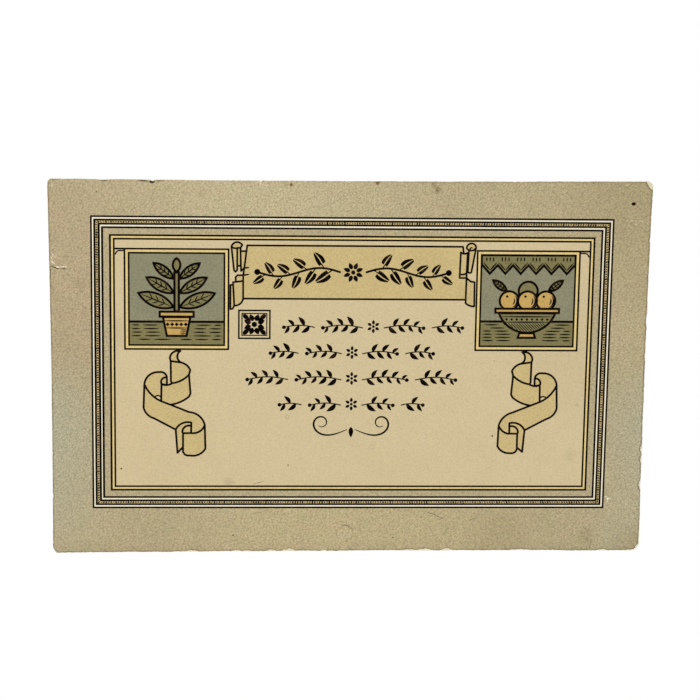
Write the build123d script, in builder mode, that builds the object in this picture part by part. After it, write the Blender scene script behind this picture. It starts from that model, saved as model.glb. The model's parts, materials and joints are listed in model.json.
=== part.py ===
from build123d import *
import os

# A picture postcard of pasted board, lying face up on a table.
# X runs along the lines of the print, Y towards the top edge and Z out of the printed face.
# The origin is the middle of the back. All sizes are in millimetres.

# Board: two papers pasted to a core, its corners rubbed round and one torn
CARD_WIDTH = 139.7
CARD_HEIGHT = 88.9
BACK_PAPER = 0.08
CORE_BOARD = 0.18
FACE_PAPER = 0.08
PASTE = 0.01
PASTE_INSET = 2.0
CORNER_WEAR = {(-1, 1): 0.7, (1, 1): 0.9, (1, -1): 1.4, (-1, -1): 1.1}
CHIP_ALONG = 1.5
CHIP_DOWN = 2.0
CHIP_BITE = 0.25

# Back of the card: a line between message and address, and a box for the stamp
BACK_LINE = 0.35
DIVIDER_HEIGHT = 62.0
STAMP_WIDTH = 20.0
STAMP_HEIGHT = 24.0
STAMP_MARGIN = 6.0

# Ink: every pull leaves a film of one thickness, and the print sits a little askew
INK = 0.01
PRINT_RIGHT = 0.30
PRINT_UP = 1.06
PRINT_TURN = -0.18

# Frame of six rules, each inset from the outermost
FRAME_WIDTH = 121.16
FRAME_HEIGHT = 69.32
RULE = 0.42
RULE_INSETS = (0.0, 0.80, 1.72, 2.56, 4.35, 5.19)

# Two pictures in double-ruled ochre borders
PICTURE_X = 40.95
PICTURE_TOP = 27.17
PICTURE_WIDTH = 24.0
PICTURE_HEIGHT = 23.6
PICTURE_BORDER = 0.95
PICTURE_RULE = 0.42
POST_DROP = 0.45
POST_ARCH = 0.95
POST_LINE = 0.32

# Pen lines of the drawn ornament
PEN = 0.44
RIBBON_PEN = 0.48
PICTURE_PEN = 0.54

# Banner
BANNER_TOP = 28.1
BANNER_BOTTOM = 15.6
BANNER_HALF = 24.65
BANNER_FOOT = 25.55
BANNER_FOLD = (0.25, 7.25)
BANNER_CURL = 5.5

# Right end of the banner, measured from the panel's lower corner there
BANNER_RIGHT = 26.41
BANNER_TIP = (-0.91, 12.5)
NEAR_MOUTH = (-0.72, 10.87)
NEAR_TOP = (-1.4, 11.2)
NEAR_FOOT = (-1.53, 6.06)
KNOT_FOOT = (-1.55, 5.15)
KNOT_END = (0.07, 5.15)

# The right ribbon's tail is a little narrower and shorter than the left one's
TAIL_SLIM = 0.62
TAIL_LIFT = 0.65

# Left picture: a leafy plant in a pot on a sill
SILL_HEIGHT = 5.6
POT_FOOT = 1.7
POT_HEIGHT = 5.0
POT_TOP_HALF = 3.5
POT_FOOT_HALF = 2.5
POT_RIM_WIDTH = 8.4
POT_RIM_HEIGHT = 1.7
STEM_WIDTH = 1.55
STEM_HEIGHT = 9.7
PLANT_PAIRS = 3
PLANT_START = 1.1
PLANT_STEP = 3.3
PLANT_LEAF = (9.6, 3.6)
PLANT_TIP = (3.8, 2.3)
PLANT_SHRINK = 0.84
PLANT_LIFT = 22
PLANT_LIFT_STEP = 8

# Right picture: a bowl of round fruit on a table, under a valance cut in points
TABLE_HEIGHT = 6.0
BOWL_FOOT = 1.6
BOWL_HALF = 7.0
BOWL_DEPTH = 5.2
BOWL_RIM_HEIGHT = 1.5
BOWL_BASE_HALF = 2.4
BOWL_NECK_HALF = 1.9
BOWL_BASE_HEIGHT = 1.2
BACK_FRUIT = ((0.1, 3.5, 2.5),)
FRONT_FRUIT = ((-4.3, 1.2, 2.5), (4.3, 1.2, 2.5), (0, 1.2, 2.5))
SIDE_LEAF = (5.0, 2.0)
SIDE_LEAF_OUT = 4.6
SIDE_LEAF_UP = 3.2
SIDE_LEAF_TURN = 38
VALANCE_POINTS = 6
VALANCE_DEPTH = 2.6
VALANCE_POINT = 2.0

# Heights of the stack, from the back of the card up
FACE = BACK_PAPER + PASTE + CORE_BOARD + PASTE + FACE_PAPER
TINT_LEVEL = FACE
COLOUR_LEVEL = TINT_LEVEL + INK
OVERPRINT_LEVEL = COLOUR_LEVEL + INK
DETAIL_LEVEL = OVERPRINT_LEVEL + INK

PANEL_WIDTH = FRAME_WIDTH - 2 * RULE_INSETS[5]
PANEL_HEIGHT = FRAME_HEIGHT - 2 * RULE_INSETS[5]
PICTURE_BOTTOM = PICTURE_TOP - PICTURE_HEIGHT
PICTURE_Y = PICTURE_TOP - PICTURE_HEIGHT / 2
OPENING_WIDTH = PICTURE_WIDTH - 2 * PICTURE_BORDER - PICTURE_RULE
OPENING_HEIGHT = PICTURE_HEIGHT - 2 * PICTURE_BORDER - PICTURE_RULE
PICTURE_FLOOR = -OPENING_HEIGHT / 2
POT_SHOULDER = PICTURE_FLOOR + POT_FOOT + POT_HEIGHT
BOWL_NECK = PICTURE_FLOOR + BOWL_FOOT + BOWL_BASE_HEIGHT
BOWL_LIP = BOWL_NECK + BOWL_DEPTH

# How far the middle of a quarter circle stands in from its corner, as a share of the radius
ARC_MIDDLE = 1 - 0.5**0.5


def print_plane(level):
    """The plane of the printed design at a height above the back."""
    return Plane(origin=(PRINT_RIGHT, PRINT_UP, level)).rotated((0, 0, PRINT_TURN))


def keep(piece, name):
    """Names a finished piece and writes it out."""
    piece.part.label = name
    export_step(piece.part, f"parts/{name}.step")


def print_film(name, drawing, level):
    """One film of ink laid from a drawing on the printed design's plane."""
    with BuildPart() as film:
        with BuildSketch(print_plane(level)):
            add(drawing)
        extrude(amount=INK)
    keep(film, name)


def flipped(drawing):
    """The same drawing for the other side of the card."""
    return mirror(drawing, about=Plane.YZ, mode=Mode.PRIVATE)


def both_sides(drawing):
    """A drawing on the left with its mirror image on the right."""
    return joined([drawing, flipped(drawing)])


def moved(drawing, x, y, turn=0):
    """A drawing carried to a place and turned there, in degrees."""
    return Location((x, y, 0), (0, 0, turn)) * drawing


# Outlines shared by many pieces


def panel(*legs):
    """A face whose edge follows the legs: two points are a straight leg, three an arc."""
    with BuildSketch() as face:
        with BuildLine():
            for leg in legs:
                if len(leg) == 2:
                    Line(*leg)
                else:
                    ThreePointArc(*leg)
        make_face()
    return face.sketch


def ring(width, height, line):
    """A rectangular rule whose middle line is width by height."""
    with BuildSketch() as rule:
        Rectangle(width + line, height + line)
        Rectangle(width - line, height - line, mode=Mode.SUBTRACT)
    return rule.sketch


def leaf(length, width):
    """A pointed leaf along X, its stalk at the origin and each side one arc."""
    return panel(
        [(0, 0), (length / 2, width / 2), (length, 0)],
        [(length, 0), (length / 2, -width / 2), (0, 0)],
    )


def folds(panels, pen):
    """The whole shape of folded panels, out to the far side of the pen lines round them."""
    return joined(offset(face, amount=pen / 2, mode=Mode.PRIVATE) for face in panels)


def fold_faces(panels, pen):
    """What is left of each folded panel inside its pen lines."""
    return [offset(face, amount=-pen / 2, mode=Mode.PRIVATE) for face in panels]


def inked_folds(panels, pen):
    """The whole shape of folded panels, and the pen lines on it."""
    shape = folds(panels, pen)
    return shape, without(shape, fold_faces(panels, pen))


def outlined(shapes, pen):
    """Pen lines inside the edges of shapes, where each shape hides those before it."""
    with BuildSketch() as lines:
        for shape in shapes:
            add(shape)
            inside = offset(shape, amount=-pen, kind=Kind.INTERSECTION, mode=Mode.PRIVATE)
            add(inside, mode=Mode.SUBTRACT)
    return lines.sketch


def joined(shapes):
    """Several shapes as one drawing."""
    with BuildSketch() as whole:
        for shape in shapes:
            add(shape)
    return whole.sketch


def without(drawing, hidden):
    """A drawing less what lies in front of it."""
    with BuildSketch() as rest:
        add(drawing)
        for shape in hidden:
            add(shape, mode=Mode.SUBTRACT)
    return rest.sketch


# Board


def worn_card():
    """The card's rectangle with its corners rubbed round."""
    with BuildSketch() as outline:
        Rectangle(CARD_WIDTH, CARD_HEIGHT)
        for (side, end), radius in CORNER_WEAR.items():
            corner = Vertex(side * CARD_WIDTH / 2, end * CARD_HEIGHT / 2, 0)
            fillet(outline.vertices().sort_by_distance(corner)[0], radius)
    return outline.sketch


def torn_card():
    """The worn card without the corner that the face paper has lost."""
    right = CARD_WIDTH / 2
    top = CARD_HEIGHT / 2
    bite = (right - CHIP_ALONG / 2 - CHIP_BITE, top - CHIP_DOWN / 2 - CHIP_BITE)
    tear = panel(
        [(right - CHIP_ALONG, top), bite, (right, top - CHIP_DOWN)],
        [(right, top - CHIP_DOWN), (right, top)],
        [(right, top), (right - CHIP_ALONG, top)],
    )
    with BuildSketch() as outline:
        add(worn_card())
        add(tear, mode=Mode.SUBTRACT)
    return outline.sketch


def pasted_area():
    """The part of a sheet that takes paste, a little short of its edges."""
    with BuildSketch() as area:
        Rectangle(CARD_WIDTH - 2 * PASTE_INSET, CARD_HEIGHT - 2 * PASTE_INSET)
    return area.sketch


def divider_rule():
    """The upright line down the middle of the back."""
    with BuildSketch() as line:
        Rectangle(BACK_LINE, DIVIDER_HEIGHT)
    return line.sketch


def stamp_box():
    """The box in the corner of the back where the stamp goes, at the top right seen from behind."""
    x = -(CARD_WIDTH / 2 - STAMP_MARGIN - STAMP_WIDTH / 2)
    y = CARD_HEIGHT / 2 - STAMP_MARGIN - STAMP_HEIGHT / 2
    return moved(ring(STAMP_WIDTH, STAMP_HEIGHT, BACK_LINE), x, y)


def border():
    """The tint that runs off the card's edge, down to the outermost rule."""
    with BuildSketch() as tint:
        add(torn_card())
        with Locations(Location((PRINT_RIGHT, PRINT_UP, 0), (0, 0, PRINT_TURN))):
            Rectangle(FRAME_WIDTH - RULE, FRAME_HEIGHT - RULE, mode=Mode.SUBTRACT)
    return tint.sketch


def flat_sheet(name, outline, level, thickness, print_on_back=None):
    """One ply or film as large as the card, with its back print let in flush."""
    with BuildPart() as sheet:
        with BuildSketch(Plane.XY.offset(level)):
            add(outline)
        extrude(amount=thickness)
        if print_on_back:
            with BuildSketch(Plane.XY.offset(level)):
                add(print_on_back)
            extrude(amount=INK, mode=Mode.SUBTRACT)
    keep(sheet, name)


# Frame and pictures


def frame_band(first, last, reach_out, reach_in):
    """The ring between two rules, reaching out and in past their middle lines."""
    outer = 2 * (RULE_INSETS[first] - reach_out)
    inner = 2 * (RULE_INSETS[last] + reach_in)
    with BuildSketch() as band:
        Rectangle(FRAME_WIDTH - outer, FRAME_HEIGHT - outer)
        Rectangle(FRAME_WIDTH - inner, FRAME_HEIGHT - inner, mode=Mode.SUBTRACT)
    return band.sketch


def frame_rule(inset):
    """One black rule of the frame."""
    return ring(FRAME_WIDTH - 2 * inset, FRAME_HEIGHT - 2 * inset, RULE)


def both_pictures(left, right=None):
    """Drawings made round a picture's middle, carried to the left and the right picture."""
    right = right or left
    return joined([moved(left, -PICTURE_X, PICTURE_Y), moved(right, PICTURE_X, PICTURE_Y)])


def picture_border():
    """The ochre border of a picture, out to the edges of its two rules."""
    with BuildSketch() as tint:
        Rectangle(PICTURE_WIDTH + PICTURE_RULE, PICTURE_HEIGHT + PICTURE_RULE)
        Rectangle(OPENING_WIDTH, OPENING_HEIGHT, mode=Mode.SUBTRACT)
    return tint.sketch


def picture_rules():
    """The two rules of a picture's border."""
    inner_width = PICTURE_WIDTH - 2 * PICTURE_BORDER
    inner_height = PICTURE_HEIGHT - 2 * PICTURE_BORDER
    return joined(
        [
            ring(PICTURE_WIDTH, PICTURE_HEIGHT, PICTURE_RULE),
            ring(inner_width, inner_height, PICTURE_RULE),
        ]
    )


def picture_ground():
    """The grey ground inside the border."""
    with BuildSketch() as tint:
        Rectangle(OPENING_WIDTH, OPENING_HEIGHT)
    return tint.sketch


def shelf():
    """The line from the frame to the left picture's top, and the arch of the post below it."""
    outside = -PANEL_WIDTH / 2 + RULE / 2
    inside = -PICTURE_X - PICTURE_WIDTH / 2 - PICTURE_RULE / 2
    arch_top = PICTURE_TOP - POST_DROP
    arch_side = outside + POST_LINE / 2
    arch_middle = (arch_side + POST_ARCH * ARC_MIDDLE, arch_top - POST_ARCH * ARC_MIDDLE)
    with BuildSketch() as lines:
        with Locations(((outside + inside) / 2, PICTURE_TOP)):
            Rectangle(inside - outside, PICTURE_RULE)
        with BuildLine() as arch:
            Line((inside, arch_top), (arch_side + POST_ARCH, arch_top))
            ThreePointArc((arch_side + POST_ARCH, arch_top), arch_middle, (arch_side, arch_top - POST_ARCH))
        trace(arch.line, POST_LINE)
    return lines.sketch


def sill(height):
    """A flat strip across the foot of a picture."""
    with BuildSketch() as strip:
        with Locations((0, PICTURE_FLOOR + height / 2)):
            Rectangle(OPENING_WIDTH, height)
    return strip.sketch


def sill_line(height):
    """The pen line along the strip's upper edge."""
    with BuildSketch() as line:
        with Locations((0, PICTURE_FLOOR + height - PICTURE_PEN / 2)):
            Rectangle(OPENING_WIDTH, PICTURE_PEN)
    return line.sketch


# Plant in its pot


def pot():
    """The pot's tapered body and its rim."""
    foot = PICTURE_FLOOR + POT_FOOT
    body = panel(
        [(-POT_FOOT_HALF, foot), (POT_FOOT_HALF, foot)],
        [(POT_FOOT_HALF, foot), (POT_TOP_HALF, POT_SHOULDER)],
        [(POT_TOP_HALF, POT_SHOULDER), (-POT_TOP_HALF, POT_SHOULDER)],
        [(-POT_TOP_HALF, POT_SHOULDER), (-POT_FOOT_HALF, foot)],
    )
    with BuildSketch() as rim:
        with Locations((0, POT_SHOULDER + POT_RIM_HEIGHT / 2 - PEN)):
            Rectangle(POT_RIM_WIDTH, POT_RIM_HEIGHT)
    return [body, rim.sketch]


def plant():
    """The plant's stem, its pairs of leaves growing smaller upwards, and the leaf at the tip."""
    root = POT_SHOULDER + POT_RIM_HEIGHT - 2 * PEN
    with BuildSketch() as stem:
        with Locations((0, root + STEM_HEIGHT / 2)):
            Rectangle(STEM_WIDTH, STEM_HEIGHT)
    blades = []
    for pair in range(PLANT_PAIRS):
        length, width = (size * PLANT_SHRINK**pair for size in PLANT_LEAF)
        lift = PLANT_LIFT + pair * PLANT_LIFT_STEP
        height = root + PLANT_START + pair * PLANT_STEP
        blade = leaf(length, width)
        blades.append(moved(blade, STEM_WIDTH / 2 - PEN, height, lift))
        blades.append(moved(blade, PEN - STEM_WIDTH / 2, height, 180 - lift))
    tip = moved(leaf(*PLANT_TIP), 0, root + STEM_HEIGHT - PEN, 90)
    return [stem.sketch, *blades, tip]


# Bowl of fruit


def bowl():
    """The bowl's foot, its round body and the lip."""
    foot = PICTURE_FLOOR + BOWL_FOOT
    neck = BOWL_NECK + PEN
    base = panel(
        [(-BOWL_BASE_HALF, foot), (BOWL_BASE_HALF, foot)],
        [(BOWL_BASE_HALF, foot), (BOWL_NECK_HALF, neck)],
        [(BOWL_NECK_HALF, neck), (-BOWL_NECK_HALF, neck)],
        [(-BOWL_NECK_HALF, neck), (-BOWL_BASE_HALF, foot)],
    )
    body = panel(
        [(-BOWL_HALF, BOWL_LIP), (0, BOWL_NECK), (BOWL_HALF, BOWL_LIP)],
        [(BOWL_HALF, BOWL_LIP), (-BOWL_HALF, BOWL_LIP)],
    )
    with BuildSketch() as lip:
        with Locations((0, BOWL_LIP + BOWL_RIM_HEIGHT / 2 - PEN)):
            Rectangle(2 * BOWL_HALF + BOWL_RIM_HEIGHT, BOWL_RIM_HEIGHT)
    return [base, body, lip.sketch]


def fruit(places):
    """Round fruit heaped in the bowl, their lower parts hidden behind its lip."""
    heap = []
    for x, height, radius in places:
        with BuildSketch() as one:
            with Locations((x, BOWL_LIP + BOWL_RIM_HEIGHT + height)):
                Circle(radius)
            with Locations((x, BOWL_LIP - radius)):
                Rectangle(2 * radius, 2 * radius, mode=Mode.SUBTRACT)
        heap.append(one.sketch)
    return heap


def side_leaves():
    """A leaf at either side of the heap."""
    height = BOWL_LIP + BOWL_RIM_HEIGHT + SIDE_LEAF_UP
    blade = leaf(*SIDE_LEAF)
    right = moved(blade, SIDE_LEAF_OUT, height, SIDE_LEAF_TURN)
    left = moved(blade, -SIDE_LEAF_OUT, height, 180 - SIDE_LEAF_TURN)
    return [right, left]


def valance():
    """A strip of cloth across the top of the picture, cut in points, reaching past the opening."""
    top = OPENING_HEIGHT / 2 + PEN
    side = OPENING_WIDTH / 2 + PEN
    hem = OPENING_HEIGHT / 2 - VALANCE_DEPTH
    width = OPENING_WIDTH / VALANCE_POINTS
    corners = [(side, hem), (side, top), (-side, top), (-side, hem)]
    for place in range(VALANCE_POINTS):
        x = place * width - OPENING_WIDTH / 2
        corners += [(x, hem), (x + width / 2, hem - VALANCE_POINT)]
    corners.append((OPENING_WIDTH / 2, hem))
    return panel(*zip(corners, corners[1:] + corners[:1]))


# Banner and ribbons


def banner_panel():
    """The banner's flat panel between its rolled ends, measured from its lower right corner."""
    left = -BANNER_FOOT - BANNER_RIGHT
    fold = (left + BANNER_FOLD[0], BANNER_FOLD[1])
    curl = (left, BANNER_CURL)
    top_left = (-BANNER_HALF - BANNER_RIGHT, BANNER_TOP - BANNER_BOTTOM)
    face = panel(
        [(left, 0), curl],
        [curl, fold],
        [fold, top_left],
        [top_left, BANNER_TIP],
        [BANNER_TIP, NEAR_MOUTH],
        [NEAR_MOUTH, (-1.07, 10.98), NEAR_TOP],
        [NEAR_TOP, NEAR_FOOT],
        [NEAR_FOOT, KNOT_FOOT],
        [KNOT_FOOT, KNOT_END],
        [KNOT_END, (0, 0)],
        [(0, 0), (left, 0)],
    )
    return moved(face, BANNER_RIGHT, BANNER_BOTTOM)


def banner_left_end():
    """The rolled end on the banner's left, measured from the panel's lower corner."""
    fold = BANNER_FOLD
    curl = (0, BANNER_CURL)
    roll_mouth = [(-1.4, 11.9), (-2.15, 11.85), (-2.75, 12.2)]
    strip = panel(
        [(-0.65, 11.15), (0.73, 11.15)],
        [(0.73, 11.15), fold],
        [fold, (-0.5, 6.5)],
        [(-0.5, 6.5), (-0.65, 11.15)],
    )
    inner_strip = panel(
        [(-1.4, 11.9), (-0.65, 11.9)],
        [(-0.65, 11.9), (-0.57, 7.7)],
        [(-0.57, 7.7), (-1.4, 7.7)],
        [(-1.4, 7.7), (-1.4, 11.9)],
    )
    roll = panel(
        [(-2.75, 12.2), (-2.15, 6.7)],
        [(-2.15, 6.7), (-1.8, 6.3)],
        [(-1.8, 6.3), (-1.4, 6.7)],
        [(-1.4, 6.7), (-1.4, 11.9)],
        roll_mouth,
    )
    roll_end = panel(
        [(-2.75, 12.2), (-1.45, 13.25), (-0.25, 12.6)],
        [(-0.25, 12.6), (-0.65, 11.9)],
        [(-0.65, 11.9), (-1.4, 11.9)],
        roll_mouth,
    )
    low_curl = panel(
        [curl, (-1.3, 5.5)],
        [(-1.3, 5.5), (-1.75, 5.05)],
        [(-1.75, 5.05), (-1.7, 3.93)],
        [(-1.7, 3.93), (0, 4.15)],
        [(0, 4.15), curl],
    )
    low_roll = panel(
        [(-2.35, 3.85), (0, 4.15)],
        [(0, 4.15), (0, 0)],
        [(0, 0), (-0.65, -1.2), (-2.05, -1.65)],
        [(-2.05, -1.65), (-2.35, 3.85)],
    )
    low_strip = panel(
        [(-2.95, 3.2), (-2.32, 3.25)],
        [(-2.32, 3.25), (-2.05, -1.65)],
        [(-2.05, -1.65), (-2.4, -2.4)],
        [(-2.4, -2.4), (-2.95, -2.5)],
        [(-2.95, -2.5), (-2.95, 3.2)],
    )
    faces = [strip, inner_strip, roll, roll_end, low_curl, low_roll, low_strip]
    return [moved(face, -BANNER_FOOT, BANNER_BOTTOM) for face in faces]


def banner_right_end():
    """The rolled end on the banner's right, measured from the panel's lower corner."""
    near_foot = [(0.07, 6.3), (-0.65, 5.98), NEAR_FOOT]
    roll_mouth = [(2.15, 12.4), (1.4, 11.65), (0.49, 11.72)]
    near_roll = panel(
        [NEAR_TOP, (-1.07, 10.98), NEAR_MOUTH],
        [NEAR_MOUTH, (-0.25, 10.9), (0.2, 11.1)],
        [(0.2, 11.1), (0.07, 6.3)],
        near_foot,
        [NEAR_FOOT, NEAR_TOP],
    )
    knot = panel(
        near_foot,
        [NEAR_FOOT, KNOT_FOOT],
        [KNOT_FOOT, KNOT_END],
        [KNOT_END, (0.07, 6.3)],
    )
    roll = panel(
        roll_mouth,
        [(0.49, 11.72), (0.32, 6.81)],
        [(0.32, 6.81), (0.75, 6.35), (1.18, 6.56)],
        [(1.18, 6.56), (2.15, 12.4)],
    )
    roll_end = panel(
        [(-0.05, 12.2), (0.95, 13.3), (2.15, 12.4)],
        roll_mouth,
        [(0.49, 11.72), (0.15, 11.9), (-0.05, 12.2)],
    )
    low_roll = panel(
        [KNOT_END, (1.06, 4.31)],
        [(1.06, 4.31), (1.98, 4.18)],
        [(1.98, 4.18), (2.04, -1.58)],
        [(2.04, -1.58), (0.93, -1.4), (0, -0.83)],
        [(0, -0.83), (0, 0)],
        [(0, 0), KNOT_END],
    )
    faces = [near_roll, knot, roll, roll_end, low_roll]
    return [moved(face, BANNER_RIGHT, BANNER_BOTTOM) for face in faces]


def ribbon_panels(slim, lift):
    """A ribbon on the left, folded three times, measured from where it leaves the picture's border."""
    hang = -PICTURE_RULE / 2 - RIBBON_PEN / 2
    tail_turn = (6.55 - slim, -18.16)
    tail_corner = (6.7 - slim, -23.9 + lift)
    tail_foot = (3.0, -25.55 + lift)
    tail_heel = (1.45, -24.6 + lift)
    strip_tip = (0.15, -24.9 + lift / 2)
    turn = [(2.85, -6.1), (1.2, -7.4), (-1.1, -8.16)]
    inner_turn = [(-1.1, -8.16), (-2.3, -8.6), (-3.55, -8.35)]
    back_fold = [(-7.55, -8.4), (-6.0, -10.8), (-3.65, -12.46)]
    front_fold = [(-3.65, -12.46), (-1.5, -13.3)]
    curl = [(-3.55, -8.35), (-3.3, -7.05), (-2.3, -6.8)]
    tail_fold = [(3.65, -20.16), (5.75 - slim, -19.4), tail_turn]
    tail_curl = [(3.4, -17.6), (1.3, -17.75), (-0.25, -19.3)]
    tail_eye = [(1.3, -19.9), (1.75, -18.75), (3.38, -18.4)]
    strand = panel(
        [(-0.15, hang), (-1.15, -1.05), (-1.6, -2.2)],
        [(-1.6, -2.2), (-1.4, -2.86)],
        [(-1.4, -2.86), (1.05, -3.2)],
        [(1.05, -3.2), (0.15, -1.55), (0.85, hang)],
        [(0.85, hang), (-0.15, hang)],
    )
    first_turn = panel(
        [(-1.4, -2.86), (1.05, -3.2)],
        [(1.05, -3.2), (2.45, -3.95), (3.15, -5.0)],
        [(3.15, -5.0), (2.85, -6.1)],
        turn,
        [(-1.1, -8.16), (-1.35, -7.7)],
        [(-1.35, -7.7), (-1.4, -2.86)],
    )
    front_band = panel(
        turn,
        inner_turn,
        [(-3.55, -8.35), (-3.65, -12.46)],
        front_fold,
        [(-1.5, -13.3), (0.8, -12.65), (2.85, -11.36)],
        [(2.85, -11.36), (3.2, -10.6)],
        [(3.2, -10.6), (2.85, -6.1)],
    )
    curl_end = panel(curl, [(-2.3, -6.8), (-2.3, -8.6)], [(-2.3, -8.6), (-3.55, -8.35)])
    side_roll = panel(
        [(-2.3, -6.8), (-2.7, -5.9), (-4.1, -5.5)],
        [(-4.1, -5.5), (-6.6, -6.4), (-7.55, -8.4)],
        back_fold,
        [(-3.65, -12.46), (-3.55, -8.35)],
        curl,
    )
    long_band = panel(
        back_fold,
        front_fold,
        [(-1.5, -13.3), (2.85, -15.06)],
        [(2.85, -15.06), (5.6 - slim, -16.35), tail_turn],
        tail_fold,
        [(3.65, -20.16), (3.35, -20.13)],
        [(3.35, -20.13), (3.38, -18.4)],
        [(3.38, -18.4), (3.4, -17.6)],
        tail_curl,
        [(-0.25, -19.3), (-5.35, -16.56)],
        [(-5.35, -16.56), (-7.1, -15.4), (-7.75, -14.0)],
        [(-7.75, -14.0), (-7.55, -8.4)],
    )
    tail_strip = panel(
        [(-0.25, -19.3), strip_tip],
        [strip_tip, (1.45, -23.5)],
        [(1.45, -23.5), (1.45, -20.16)],
        [(1.45, -20.16), (1.3, -19.9)],
        tail_eye,
        [(3.38, -18.4), (3.4, -17.6)],
        tail_curl,
    )
    tail_end = panel(
        tail_eye,
        [(3.38, -18.4), (3.35, -20.13)],
        [(3.35, -20.13), (1.45, -20.16)],
        [(1.45, -20.16), (1.3, -19.9)],
    )
    tail = panel(
        [(1.45, -20.16), (3.35, -20.13)],
        [(3.35, -20.13), (3.65, -20.16)],
        tail_fold,
        [tail_turn, tail_corner],
        [tail_corner, (5.2 - slim, -25.3 + lift), tail_foot],
        [tail_foot, (1.9, -25.3 + lift), tail_heel],
        [tail_heel, (1.45, -20.16)],
    )
    faces = [strand, first_turn, front_band, curl_end, side_roll, long_band, tail_strip, tail_end, tail]
    return [moved(face, -PICTURE_X, PICTURE_BOTTOM) for face in faces]


# Pieces

os.makedirs("parts", exist_ok=True)

back_print = joined([divider_rule(), stamp_box()])
front_paste_level = BACK_PAPER + PASTE + CORE_BOARD
flat_sheet("back_paper", worn_card(), 0, BACK_PAPER, back_print)
flat_sheet("back_paste", pasted_area(), BACK_PAPER, PASTE)
flat_sheet("core_board", worn_card(), BACK_PAPER + PASTE, CORE_BOARD)
flat_sheet("front_paste", pasted_area(), front_paste_level, PASTE)
flat_sheet("face_paper", torn_card(), front_paste_level + PASTE, FACE_PAPER)
flat_sheet("divider_rule", divider_rule(), 0, INK)
flat_sheet("stamp_box", stamp_box(), 0, INK)

flat_sheet("border_tint", border(), TINT_LEVEL, INK)
print_film("hatched_band", frame_band(1, 2, RULE / 2, RULE / 2), TINT_LEVEL)
print_film("grey_band", frame_band(3, 4, RULE / 2, 0), TINT_LEVEL)
print_film("ochre_line", frame_band(4, 5, 0, 0), TINT_LEVEL)
with BuildSketch() as cream:
    Rectangle(PANEL_WIDTH, PANEL_HEIGHT)
print_film("panel_tint", cream.sketch, TINT_LEVEL)
for place, inset in enumerate(RULE_INSETS, start=1):
    print_film(f"frame_rule_{place}", frame_rule(inset), COLOUR_LEVEL)

print_film("shelf_lines", both_sides(shelf()), COLOUR_LEVEL)

banner, banner_folds = inked_folds([banner_panel(), *banner_left_end(), *banner_right_end()], PEN)
print_film("banner_tint", banner, COLOUR_LEVEL)
print_film("banner_lines", banner_folds, OVERPRINT_LEVEL)

left_ribbon, left_folds = inked_folds(ribbon_panels(0, 0), RIBBON_PEN)
right_ribbon, right_folds = inked_folds(ribbon_panels(TAIL_SLIM, TAIL_LIFT), RIBBON_PEN)
print_film("ribbon_tints", joined([left_ribbon, flipped(right_ribbon)]), COLOUR_LEVEL)
print_film("ribbon_lines", joined([left_folds, flipped(right_folds)]), OVERPRINT_LEVEL)

print_film("picture_borders", both_pictures(picture_border()), COLOUR_LEVEL)
print_film("picture_grounds", both_pictures(picture_ground()), COLOUR_LEVEL)
print_film("picture_rules", both_pictures(picture_rules()), OVERPRINT_LEVEL)

pot_shapes = pot()
plant_shapes = plant()
left_sill = without(sill(SILL_HEIGHT), pot_shapes)
left_greens = joined([left_sill, *plant_shapes])
left_sill_line = without(sill_line(SILL_HEIGHT), pot_shapes)
left_lines = joined([outlined([*plant_shapes, *pot_shapes], PICTURE_PEN), left_sill_line])

bowl_base, bowl_body, bowl_lip = bowl()
bowl_shapes = [bowl_base, bowl_body, bowl_lip]
back_fruit = fruit(BACK_FRUIT)
front_fruit = fruit(FRONT_FRUIT)
cloth_and_leaves = [valance(), *side_leaves()]
right_table = without(sill(TABLE_HEIGHT), bowl_shapes)
right_behind = joined([right_table, *cloth_and_leaves, *back_fruit])
right_behind = without(right_behind, front_fruit + bowl_shapes) & picture_ground()
right_greens = joined([right_behind, without(bowl_body, [bowl_base, bowl_lip])])
right_ochres = joined([bowl_base, bowl_lip, *front_fruit])
right_shapes = [*cloth_and_leaves, *back_fruit, *front_fruit, *bowl_shapes]
right_table_line = without(sill_line(TABLE_HEIGHT), bowl_shapes)
right_lines = joined([outlined(right_shapes, PICTURE_PEN) & picture_ground(), right_table_line])

print_film("picture_greens", both_pictures(left_greens, right_greens), OVERPRINT_LEVEL)
print_film("picture_ochres", both_pictures(joined(pot_shapes), right_ochres), OVERPRINT_LEVEL)
print_film("picture_lines", both_pictures(left_lines, right_lines), DETAIL_LEVEL)
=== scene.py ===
# %% [markdown]
# # A worn picture postcard on a white table
#
# The card is a sandwich of papers with thin films of printing ink on it. Its measured pieces come
# in as a fixed frame, in metres, with the back of the card on the table and the print facing up.
# This lesson dresses that frame. It gives every paper and ink its own finish, wears down the
# edges of the board, and lays the small ornaments and marks that are too fine for the frame.

# %% Load the frame
import json
import math

import bmesh
import bpy
from mathutils import Matrix, Vector, noise


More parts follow.
